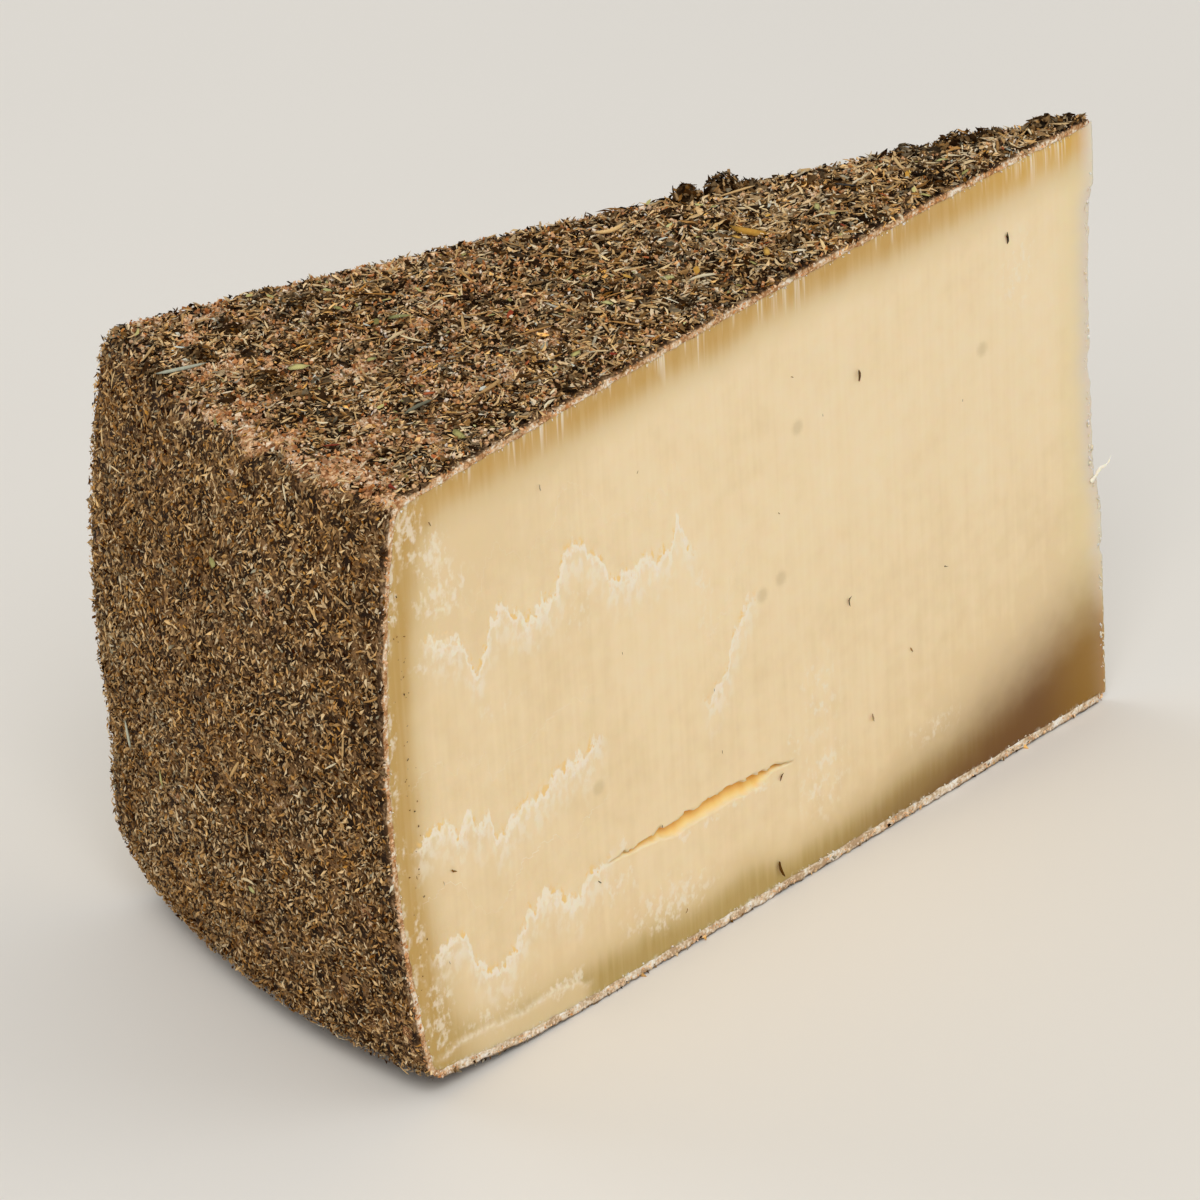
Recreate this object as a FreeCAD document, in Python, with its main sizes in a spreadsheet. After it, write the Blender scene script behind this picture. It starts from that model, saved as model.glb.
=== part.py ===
"""A wedge of herb-crusted hard cheese, cut from a low round wheel.

Frame: millimetres, +Z up, the wedge standing on its underside at z = 0.  The origin is the
middle of the wedge's box at that level.  +X runs from the rind towards the knife-sharp tip,
which was the middle of the wheel, and the two cut faces lie at equal angles to it.

The wedge is one solid.  A half section of the wheel is turned about the wheel's axis through
the wedge's angle: its top is gently domed, its side bulges like a barrel, its upper and lower
edges are rounded, and its underside lifts a little towards the rind, so that it stands on the
flat inner part.  A slim split in the paste opens on the cut face that looks towards -Y.
"""

import FreeCAD, Part

import math
import os

import Sketcher

PARTS_FOLDER = "parts"
NODE = "cheese_wedge"

# Driving dimensions, in millimetres, with the wedge's angle in degrees.
SIZES = {
    "wheel_radius": 150.5,      # from the wheel's axis to the widest point of its side
    "centre_height": 92.5,      # thickness at the wheel's axis
    "dome_rise": 4.5,           # how much thicker the wheel is there than at its rim
    "wedge_angle": 29.0,        # between the two cut faces
    "side_bulge": 5.0,          # how far the side stands out past the rim's edges
    "waist_height": 45.0,       # where the side is widest
    "shoulder_radius": 4.0,     # rounding of the upper edge
    "heel_radius": 3.5,         # rounding of the lower edge
    "foot_radius": 112.0,       # the flat part of the underside, on which it stands
    "heel_lift": 3.0,           # how far the underside would rise at the rim's lower edge
    "split_middle": 90.0,       # the split, from the wheel's axis to its middle
    "split_height": 19.8,       # its height over the underside
    "split_length": 38.0,
    "split_width": 2.2,
    "split_depth": 2.5,
}


def add_sheet(doc):
    """The spreadsheet that holds the driving dimensions, one aliased cell for each."""
    sheet = doc.addObject("Spreadsheet::Sheet", "sizes")
    for row, (name, value) in enumerate(SIZES.items(), start=1):
        sheet.set(f"A{row}", name)
        sheet.set(f"B{row}", str(value))
        sheet.setAlias(f"B{row}", name)
    doc.recompute()
    return sheet


def point(x, y):
    """A point of a sketch."""
    return FreeCAD.Vector(x, y, 0)


def upright_sketch(body, name):
    """A sketch on the body's upright XZ plane, with the wheel's axis as its vertical axis, so
    that the rind lies on its -X side."""
    sketch = body.newObject("Sketcher::SketchObject", name)
    planes = {plane.Role: plane for plane in body.Origin.OriginFeatures}
    sketch.AttachmentSupport = (planes["XZ_Plane"], [""])
    sketch.MapMode = "FlatFace"
    sketch.setExpression("AttachmentOffset.Base.x", "sizes.wheel_radius / 2")
    return sketch


def add_arc(sketch, start, middle, end):
    """Adds an arc through three points.  Returns the curve with the numbers of its start and its
    end, because a sketch holds every arc anticlockwise, and numbers its ends that way."""
    circle = Part.Arc(point(*start), point(*middle), point(*end)).toShape().Curve
    centre = circle.Center
    first, last = (math.atan2(y - centre.y, x - centre.x) for x, y in (start, end))
    turn = ((middle[0] - start[0]) * (end[1] - start[1])
            - (middle[1] - start[1]) * (end[0] - start[0]))
    plain = Part.Circle(centre, FreeCAD.Vector(0, 0, 1), circle.Radius)
    if turn > 0:
        return sketch.addGeometry(Part.ArcOfCircle(plain, first, last), False), 1, 2
    return sketch.addGeometry(Part.ArcOfCircle(plain, last, first), False), 2, 1


def bind(sketch, kind, *where, to):
    """Adds a constraint that has a size, and ties its size to an expression of the sheet."""
    value = sketch.evalExpression(to)
    index = sketch.addConstraint(Sketcher.Constraint(kind, *where, getattr(value, "Value", value)))
    sketch.setExpression(f"Constraints[{index}]", to)


def rough_outline(sheet):
    """The places where the section's curves meet, and a place on each curve, about right.  The
    sketch's constraints then make them exact."""
    edge = sheet.wheel_radius - sheet.side_bulge
    rim_height = sheet.centre_height - sheet.dome_rise
    shoulder, heel, lift = sheet.shoulder_radius, sheet.heel_radius, sheet.heel_lift
    corner = 1 - math.sqrt(0.5)
    joints = [
        (-sheet.foot_radius, 0),
        (heel - edge, lift),
        (-edge, lift + heel),
        (-edge, rim_height - shoulder),
        (shoulder - edge, rim_height),
        (0, sheet.centre_height),
    ]
    between = [
        ((joints[0][0] + joints[1][0]) / 2, lift / 4),
        (heel * corner - edge, lift + heel * corner),
        (-sheet.wheel_radius, sheet.waist_height),
        (shoulder * corner - edge, rim_height - shoulder * corner),
        (joints[4][0] / 2, sheet.centre_height - sheet.dome_rise / 4),
    ]
    return joints, between


def draw_section(body, sheet):
    """The half section of the wheel: a flat foot, the underside's lift, the heel, the bulging
    side, the shoulder and the dome, each tangent to the next, closed along the wheel's axis."""
    sketch = upright_sketch(body, "WheelSection")
    joints, between = rough_outline(sheet)
    foot = (sketch.addGeometry(Part.LineSegment(point(0, 0), point(*joints[0])), False), 1, 2)
    lift, heel, side, shoulder, dome = (
        add_arc(sketch, start, middle, end)
        for start, middle, end in zip(joints, between, joints[1:]))
    axis = (sketch.addGeometry(Part.LineSegment(point(*joints[-1]), point(0, 0)), False), 1, 2)

    outline = [foot, lift, heel, side, shoulder, dome]
    for (curve, _, end), (following, start, _) in zip(outline, outline[1:]):
        sketch.addConstraint(Sketcher.Constraint("Tangent", curve, end, following, start))
    sketch.addConstraint(Sketcher.Constraint("Coincident", dome[0], dome[2], axis[0], axis[1]))
    sketch.addConstraint(Sketcher.Constraint("Coincident", axis[0], axis[2], foot[0], foot[1]))
    sketch.addConstraint(Sketcher.Constraint("Coincident", foot[0], foot[1], -1, 1))
    sketch.addConstraint(Sketcher.Constraint("Horizontal", foot[0]))
    sketch.addConstraint(Sketcher.Constraint("Vertical", axis[0]))
    sketch.addConstraint(Sketcher.Constraint("PointOnObject", dome[0], 3, -2))

    bind(sketch, "DistanceX", foot[0], foot[2], -1, 1, to="sizes.foot_radius")
    bind(sketch, "DistanceY", -1, 1, axis[0], axis[1], to="sizes.centre_height")
    bind(sketch, "Radius", shoulder[0], to="sizes.shoulder_radius")
    bind(sketch, "Radius", heel[0], to="sizes.heel_radius")

    # The radius of a shallow arc is its reach squared over twice its rise, and half its rise.
    edge = "(sizes.wheel_radius - sizes.side_bulge)"
    half_side = "((sizes.centre_height - sizes.dome_rise) / 2)"
    side_radius = f"({half_side} ^ 2 / (2 * sizes.side_bulge) + sizes.side_bulge / 2)"
    bind(sketch, "Radius", dome[0],
         to=f"{edge} ^ 2 / (2 * sizes.dome_rise) + sizes.dome_rise / 2")
    bind(sketch, "Radius", lift[0],
         to=f"({edge} - sizes.foot_radius) ^ 2 / (2 * sizes.heel_lift) + sizes.heel_lift / 2")
    bind(sketch, "Radius", side[0], to=side_radius)
    bind(sketch, "DistanceY", -1, 1, side[0], 3, to="sizes.waist_height")
    bind(sketch, "DistanceX", -1, 1, side[0], 3, to=f"{side_radius} - sizes.wheel_radius")
    return sketch


def draw_split(body, sheet):
    """The split's outline, a slim lens of two arcs, on the cut face that looks towards -Y."""
    sketch = upright_sketch(body, "SplitOutline")
    turned = FreeCAD.Rotation(FreeCAD.Vector(0, 1, 0), sheet.wedge_angle / 2)
    sketch.AttachmentOffset = FreeCAD.Placement(FreeCAD.Vector(), turned)
    sketch.setExpression("AttachmentOffset.Rotation.Angle", "sizes.wedge_angle / 2")

    height = sheet.split_height
    near, far = ((side * sheet.split_length / 2 - sheet.split_middle, height) for side in (1, -1))
    lower, upper = (
        add_arc(sketch, near, (-sheet.split_middle, height + side * sheet.split_width / 2), far)
        for side in (-1, 1))
    for end in (1, 2):
        sketch.addConstraint(
            Sketcher.Constraint("Coincident", lower[0], lower[end], upper[0], upper[end]))
    for end, side in ((1, "-"), (2, "+")):
        place = (lower[0], lower[end])
        bind(sketch, "DistanceX", *place, -1, 1,
             to=f"sizes.split_middle {side} sizes.split_length / 2")
        bind(sketch, "DistanceY", -1, 1, *place, to="sizes.split_height")
    for lip in (lower, upper):
        bind(sketch, "Radius", lip[0],
             to="sizes.split_length ^ 2 / (4 * sizes.split_width) + sizes.split_width / 4")
    return sketch


def build_wedge(doc, sheet):
    """The cheese wedge: the section turned through the wedge's angle, less the split."""
    body = doc.addObject("PartDesign::Body", "CheeseWedge")
    body.Label = NODE
    section = draw_section(body, sheet)

    turned = body.newObject("PartDesign::Revolution", "SectorOfWheel")
    turned.Profile = section
    turned.ReferenceAxis = (section, ["V_Axis"])
    turned.Midplane = True
    turned.setExpression("Angle", "sizes.wedge_angle")
    doc.recompute()

    outline = draw_split(body, sheet)
    split = body.newObject("PartDesign::Pocket", "Split")
    split.Profile = outline
    split.setExpression("Length", "sizes.split_depth")
    body.Tip = split
    doc.recompute()
    if not split.Shape.Volume < turned.Shape.Volume:
        raise RuntimeError("the split cut nothing from the wedge")
    return body


def check_document(doc):
    """Stops if any object of the document failed to compute."""
    failed = [thing.Name for thing in doc.Objects if {"Invalid", "Error"} & set(thing.State)]
    if failed:
        raise RuntimeError(f"these objects failed: {failed}")


def write_part(body):
    """Writes the sub-part's one solid to a STEP file named after its node."""
    shape = body.Shape
    if shape.isNull() or not shape.isValid() or len(shape.Solids) != 1:
        raise RuntimeError(f"{body.Label} is not one valid solid")
    os.makedirs(PARTS_FOLDER, exist_ok=True)
    shape.exportStep(os.path.join(PARTS_FOLDER, body.Label + ".step"))
    box = shape.optimalBoundingBox()
    print(f"{body.Label}: {shape.Volume / 1000:.1f} cm3, box {box.XMin:.2f}..{box.XMax:.2f} "
          f"{box.YMin:.2f}..{box.YMax:.2f} {box.ZMin:.2f}..{box.ZMax:.2f} mm")


def main():
    """Builds the document and writes the part."""
    doc = FreeCAD.newDocument("HerbCrustedCheese")
    sheet = add_sheet(doc)
    wedge = build_wedge(doc, sheet)
    check_document(doc)
    write_part(wedge)


main()
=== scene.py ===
"""A wedge of herb-crusted hard cheese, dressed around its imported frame.

The wedge was cut from a low round wheel.  Shapes are worked out in millimetres in the wheel's own
terms, which are the distance from the wheel's axis, the angle about it and the height, and are
turned into the frame's metres when a mesh is made.  The paste is one closed body with knife
marks, tears and a split on its cut faces.  A thin crumbly rind covers its top, its bulging side
and its underside, and many thousands of dried herb pieces lie on that.
"""

from __future__ import annotations

import logging
import math
from dataclasses import dataclass, field, replace
from enum import Enum
from itertools import product
from typing import Iterable, Sequence

import bpy
import numpy as np
from bpy.types import Material, Node, NodeSocket as Socket, NodeTree, Object
from mathutils import Matrix, Vector

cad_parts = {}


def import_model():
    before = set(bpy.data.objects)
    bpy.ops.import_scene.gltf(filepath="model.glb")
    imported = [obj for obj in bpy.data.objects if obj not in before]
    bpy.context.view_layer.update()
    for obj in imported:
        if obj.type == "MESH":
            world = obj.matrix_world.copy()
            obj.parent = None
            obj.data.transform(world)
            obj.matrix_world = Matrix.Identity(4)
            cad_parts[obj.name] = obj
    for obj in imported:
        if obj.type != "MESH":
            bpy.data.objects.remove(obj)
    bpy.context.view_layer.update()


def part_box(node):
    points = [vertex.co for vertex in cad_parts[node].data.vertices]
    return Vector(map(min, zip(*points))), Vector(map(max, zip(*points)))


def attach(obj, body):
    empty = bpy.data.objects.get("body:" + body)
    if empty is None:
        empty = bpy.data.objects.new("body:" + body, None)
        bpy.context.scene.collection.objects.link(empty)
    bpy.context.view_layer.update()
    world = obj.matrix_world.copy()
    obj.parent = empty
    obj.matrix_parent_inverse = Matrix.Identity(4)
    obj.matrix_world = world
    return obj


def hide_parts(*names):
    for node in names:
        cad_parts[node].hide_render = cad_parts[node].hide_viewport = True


LOG = logging.getLogger("cheese")
MM = 0.001
NODE = "cheese_wedge"

Array = np.ndarray
Colour = tuple[int, int, int]
Stops = tuple[tuple[float, Colour], ...]


class Seed(Enum):
    """Where each group of random draws starts, and the patterns that pieces share."""

    LAYERS = 101
    ACCENTS = 301
    LOOSE_BITS = 311
    HEAPS = 331
    BORDER = 401
    SPECKS = 411
    SHREDS = 421
    TONE_CLOUDS = 77
    WARMTH_CLOUDS = 91

    def draws(self) -> np.random.Generator:
        """The random draws that start there."""
        return np.random.default_rng(self.value)


# === Numbers: noise, easing and spacing ===

def lattice(points: Array, seed: int) -> Array:
    """Smooth random values on a unit lattice.

    Args:
        points: places, one row each, of one to three numbers.
        seed: picks the pattern.

    Returns:
        One value from -1 to 1 for each place.
    """
    points = np.atleast_2d(points)
    cell = np.floor(points).astype(np.int64)
    ease = points - cell
    ease = ease * ease * (3 - 2 * ease)
    primes = np.array([73856093, 19349663, 83492791], dtype=np.int64)[:points.shape[1]]
    total = np.zeros(len(points))
    for corner in product((0, 1), repeat=points.shape[1]):
        step = np.array(corner)
        key = (((cell + step) * primes).sum(axis=1) + seed * 2654435761).astype(np.uint64)
        key = (key ^ (key >> np.uint64(33))) * np.uint64(0xFF51AFD7ED558CCD)
        key = (key ^ (key >> np.uint64(33))) * np.uint64(0xC4CEB9FE1A85EC53)
        value = (key >> np.uint64(40)).astype(float) / (1 << 23) - 1
        total += value * np.where(step, ease, 1 - ease).prod(axis=1)
    return total


def rough(points: Array, seed: int, octaves: int = 3) -> Array:
    """Lattice values of several sizes added up, each half as large and half as strong."""
    layers = (lattice(points * 2 ** i, seed + i) / 2 ** i for i in range(octaves))
    return sum(layers) / (2 - 2 ** (1 - octaves))


def ease_between(value: Array, low: float, high: float) -> Array:
    """0 at low, 1 at high, and smooth between them."""
    share = np.clip((value - low) / (high - low), 0, 1)
    return share * share * (3 - 2 * share)


def graded(spans: Sequence[tuple[float, float]]) -> Array:
    """Shares from 0 to 1 whose spacing changes from span to span.

    Args:
        spans: the end of each span and its spacing, both in millimetres.

    Returns:
        The shares.  Each span has an even number of steps.
    """
    places = [np.zeros(1)]
    start = 0.0
    for end, step in spans:
        count = 2 * max(1, round((end - start) / step / 2))
        places.append(np.linspace(start, end, count + 1)[1:])
        start = end
    return np.concatenate(places) / start


def columns(*values: Array | float) -> Array:
    """Numbers side by side, one row for each place."""
    return np.stack(np.broadcast_arrays(*values), axis=-1).astype(float)


# === The wheel and the wedge ===

@dataclass
class Outline:
    """The wheel's half section, walked from its crown over the shoulder, down the side, round
    the heel and back along the underside to the axis.

    Attributes:
        radius: from the axis to the widest point of the side.
        height: thickness at the axis.
        dome_rise: how much thicker the wheel is there than at its rim.
        side_bulge: how far the side stands out past the rim's edges.
        waist: height of the widest point.
        shoulder: radius of the upper edge's rounding.
        heel: radius of the lower edge's rounding.
        foot: radius of the flat part of the underside.
        lift: how far the underside would rise at the rim's lower edge.
        step: spacing of the sampled places.
    """

    radius: float
    height: float
    dome_rise: float = 4.5
    side_bulge: float = 5.0
    waist: float = 45.0
    shoulder: float = 4.0
    heel: float = 3.5
    foot: float = 112.0
    lift: float = 3.0
    step: float = 0.2
    places: Array = field(init=False)
    normals: Array = field(init=False)
    walk: Array = field(init=False)
    area: Array = field(init=False)
    shoulder_mark: float = field(init=False)
    heel_mark: float = field(init=False)
    length: float = field(init=False)

    def __post_init__(self) -> None:
        """Samples the five arcs and the flat foot."""
        edge = self.radius - self.side_bulge
        dome = self.shallow_radius(edge, self.dome_rise)
        side = self.shallow_radius((self.height - self.dome_rise) / 2, self.side_bulge)
        under = self.shallow_radius(edge - self.foot, self.lift)
        dome_at = np.array([0.0, self.height - dome])
        side_at = np.array([self.radius - side, self.waist])
        under_at = np.array([self.foot, under])
        shoulder_at = self.inner_circle(dome_at, dome, side_at, side, self.shoulder, upper=True)
        heel_at = self.inner_circle(under_at, under, side_at, side, self.heel, upper=False)

        top = math.pi / 2
        turn = [
            top,
            self.heading(dome_at, shoulder_at),
            self.heading(side_at, shoulder_at),
            self.heading(side_at, heel_at),
            self.heading(under_at, heel_at),
            -top,
        ]
        arcs = [
            (dome_at, dome),
            (shoulder_at, self.shoulder),
            (side_at, side),
            (heel_at, self.heel),
            (under_at, under),
        ]
        places, normals, ends = [], [], [0]
        for (centre, size), start, end in zip(arcs, turn, turn[1:]):
            count = max(8, int(abs(start - end) * size / self.step))
            angle = np.linspace(start, end, count)[:-1]
            facing = columns(np.cos(angle), np.sin(angle))
            places.append(centre + size * facing)
            normals.append(facing)
            ends.append(ends[-1] + len(angle))
        flat = np.linspace(self.foot, 0, int(self.foot / self.step))
        places.append(columns(flat, 0.0))
        normals.append(columns(0.0 * flat, -1.0))
        self.places = np.concatenate(places)
        self.normals = np.concatenate(normals)
        steps = np.linalg.norm(np.diff(self.places, axis=0), axis=1)
        self.walk = np.concatenate([[0.0], np.cumsum(steps)])
        self.area = np.concatenate([[0.0], np.cumsum(steps * self.places[1:, 0])])
        self.length = float(self.walk[-1])
        self.shoulder_mark = float(self.walk[(ends[1] + ends[2]) // 2])
        self.heel_mark = float(self.walk[(ends[3] + ends[4]) // 2])

    @staticmethod
    def shallow_radius(reach: float, rise: float) -> float:
        """The radius of a shallow arc that rises by that much over that reach."""
        return reach ** 2 / (2 * rise) + rise / 2

    @staticmethod
    def heading(start: Array, end: Array) -> float:
        """The direction from one place of the section to another, as an angle."""
        return math.atan2(end[1] - start[1], end[0] - start[0])

    @staticmethod
    def inner_circle(first: Array, first_size: float, second: Array, second_size: float,
                     size: float, upper: bool) -> Array:
        """The centre of a small circle that touches two large ones from inside.

        Args:
            first: centre of one large circle.
            first_size: its radius.
            second: centre of the other.
            second_size: its radius.
            size: radius of the small circle.
            upper: which of the two answers is meant.

        Returns:
            The centre, as distance from the axis and height.
        """
        gap = second - first
        apart = float(np.linalg.norm(gap))
        near, far = first_size - size, second_size - size
        along = (near ** 2 - far ** 2 + apart ** 2) / (2 * apart)
        aside = math.sqrt(near ** 2 - along ** 2)
        unit = gap / apart
        middle = first + along * unit
        answers = [middle + sign * aside * np.array([-unit[1], unit[0]]) for sign in (1, -1)]
        return max(answers, key=lambda place: place[1] if upper else -place[1])

    def at(self, walk: Array, inset: Array | float = 0.0) -> tuple[Array, Array, Array, Array]:
        """Places on the section.

        Args:
            walk: how far along the section.
            inset: how deep under its surface.

        Returns:
            Distance from the axis, height, and the outward direction's two parts.
        """
        out_r = np.interp(walk, self.walk, self.normals[:, 0])
        out_z = np.interp(walk, self.walk, self.normals[:, 1])
        r = np.interp(walk, self.walk, self.places[:, 0]) - inset * out_r
        z = np.interp(walk, self.walk, self.places[:, 1]) - inset * out_z
        return r, z, out_r, out_z

    def under(self, walk: Array) -> Array:
        """1 on the underside and 0 elsewhere, easing round the heel."""
        return ease_between(walk, self.heel_mark - 2.0, self.heel_mark + 6.0)

    def even_walks(self, random: np.random.Generator, count: int, low: float,
                   high: float) -> Array:
        """Random walks between two marks, evenly spread over the wheel's surface."""
        start, end = np.interp([low, high], self.walk, self.area)
        return np.interp(random.uniform(start, end, count), self.area, self.walk)

    def depths(self, r: Array, z: Array) -> tuple[Array, Array, Array]:
        """How deep places of the section lie under the top, behind the side and over the
        underside."""
        top = self.walk < self.shoulder_mark
        base = self.walk > self.heel_mark
        side = ~top & ~base
        rim_r, rim_z = self.places[:, 0], self.places[:, 1]
        under_top = np.interp(r, rim_r[top], rim_z[top]) - z
        behind_side = np.interp(z, rim_z[side][::-1], rim_r[side][::-1]) - r
        over_base = z - np.interp(r, rim_r[base][::-1], rim_z[base][::-1])
        return under_top, behind_side, over_base


@dataclass(frozen=True)
class Wedge:
    """The wedge in the frame.

    Attributes:
        outline: the wheel's half section.
        axis_x: where the wheel's axis, the wedge's tip, stands on the frame's X axis.
        half_angle: from the middle of the wedge to each cut face.
    """

    outline: Outline
    axis_x: float
    half_angle: float

    @classmethod
    def from_frame(cls) -> "Wedge":
        """Reads the wedge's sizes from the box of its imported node."""
        low, high = (np.array(corner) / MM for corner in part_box(NODE))
        radius = high[0] - low[0]
        half_angle = math.asin((high[1] - low[1]) / 2 / radius)
        LOG.info("wheel radius %.1f mm, wedge %.1f degrees", radius, math.degrees(2 * half_angle))
        return cls(Outline(radius=radius, height=high[2]), axis_x=high[0], half_angle=half_angle)

    def place(self, r: Array, angle: Array, z: Array) -> Array:
        """Places in the frame, in millimetres."""
        return columns(self.axis_x - r * np.cos(angle), r * np.sin(angle), z)

    @staticmethod
    def across(angle: Array) -> Array:
        """The direction in which the angle about the axis grows."""
        return columns(np.sin(angle), np.cos(angle), 0.0)

    @staticmethod
    def turned(angle: Array, out_r: Array, out_z: Array) -> Array:
        """A direction of the section, turned to its angle about the axis."""
        return columns(-out_r * np.cos(angle), out_r * np.sin(angle), out_z)


# === Meshes ===

@dataclass
class Sculpt:
    """A mesh in the making, in millimetres.

    Attributes:
        name: the piece's name.
        points: blocks of places, each of some rows of three numbers.
        faces: blocks of faces, each block with one number of corners.
        values: for each named value, its blocks, which match the points.
    """

    name: str
    points: list[Array] = field(default_factory=list)
    faces: list[Array] = field(default_factory=list)
    values: dict[str, list[Array]] = field(default_factory=dict)

    def add(self, points: Array, faces: Iterable[Array], **values: Array | float) -> int:
        """Adds places, the faces between them, and one number of each kind for each place.

        Args:
            points: the places.
            faces: blocks of faces that count from the first of these places.
            **values: the numbers, which a material can read by their name.

        Returns:
            The index of the first place added.
        """
        base = sum(len(block) for block in self.points)
        self.points.append(points)
        self.faces.extend(np.asarray(block) + base for block in faces)
        for key, value in values.items():
            block = np.broadcast_to(np.asarray(value, dtype=float), (len(points),))
            self.values.setdefault(key, []).append(block)
        return base

    def finish(self, material: Material, slot: str, smooth: bool) -> Object:
        """Makes the object, riding on the wedge.

        Args:
            material: the piece's finish.
            slot: not used.
            smooth: whether its faces are shaded as one smooth surface.

        Returns:
            The object.
        """
        mesh = bpy.data.meshes.new(self.name)
        points = np.concatenate(self.points) * MM
        corners = np.concatenate([block.ravel() for block in self.faces]).astype(np.int32)
        counts = np.concatenate([np.full(len(block), block.shape[1]) for block in self.faces])
        starts = np.concatenate([[0], np.cumsum(counts)[:-1]]).astype(np.int32)
        mesh.vertices.add(len(points))
        mesh.vertices.foreach_set("co", points.astype(np.float32).ravel())
        mesh.loops.add(len(corners))
        mesh.loops.foreach_set("vertex_index", corners)
        mesh.polygons.add(len(counts))
        mesh.polygons.foreach_set("loop_start", starts)
        mesh.polygons.foreach_set("use_smooth", np.full(len(counts), smooth))
        for key, blocks in self.values.items():
            layer = mesh.attributes.new(key, "FLOAT", "POINT")
            layer.data.foreach_set("value", np.concatenate(blocks).astype(np.float32))
        mesh.update(calc_edges=True)
        mesh.validate()
        mesh.materials.append(material)
        piece = bpy.data.objects.new(self.name, mesh)
        bpy.context.scene.collection.objects.link(piece)
        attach(piece, "root")
        LOG.info("%s: %d places, %d faces", self.name, len(points), len(counts))
        return piece


def grid_faces(rows: int, across: int, flip: bool = False) -> Array:
    """The quads of a grid whose places are numbered along each row in turn.

    Args:
        rows: how many rows of places.
        across: how many places in a row.
        flip: whether the faces look the other way.

    Returns:
        The quads.
    """
    row, place = np.meshgrid(np.arange(rows - 1), np.arange(across - 1), indexing="ij")
    first = (row * across + place).ravel()
    quads = np.stack([first, first + 1, first + across + 1, first + across], axis=1)
    return quads[:, ::-1] if flip else quads


def ring_faces(first: Array, second: Array) -> Array:
    """The quads between two closed rings of as many places."""
    return np.stack([first, np.roll(first, -1), np.roll(second, -1), second], axis=1)


# === Materials ===

def linear(colour: Colour) -> tuple[float, float, float, float]:
    """A display colour from 0 to 255 as a linear one."""
    parts = (part / 255 for part in colour)
    red, green, blue = (
        part / 12.92 if part <= 0.04045 else ((part + 0.055) / 1.055) ** 2.4 for part in parts)
    return red, green, blue, 1.0


Value = Socket | float
Tint = Socket | Colour


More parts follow.
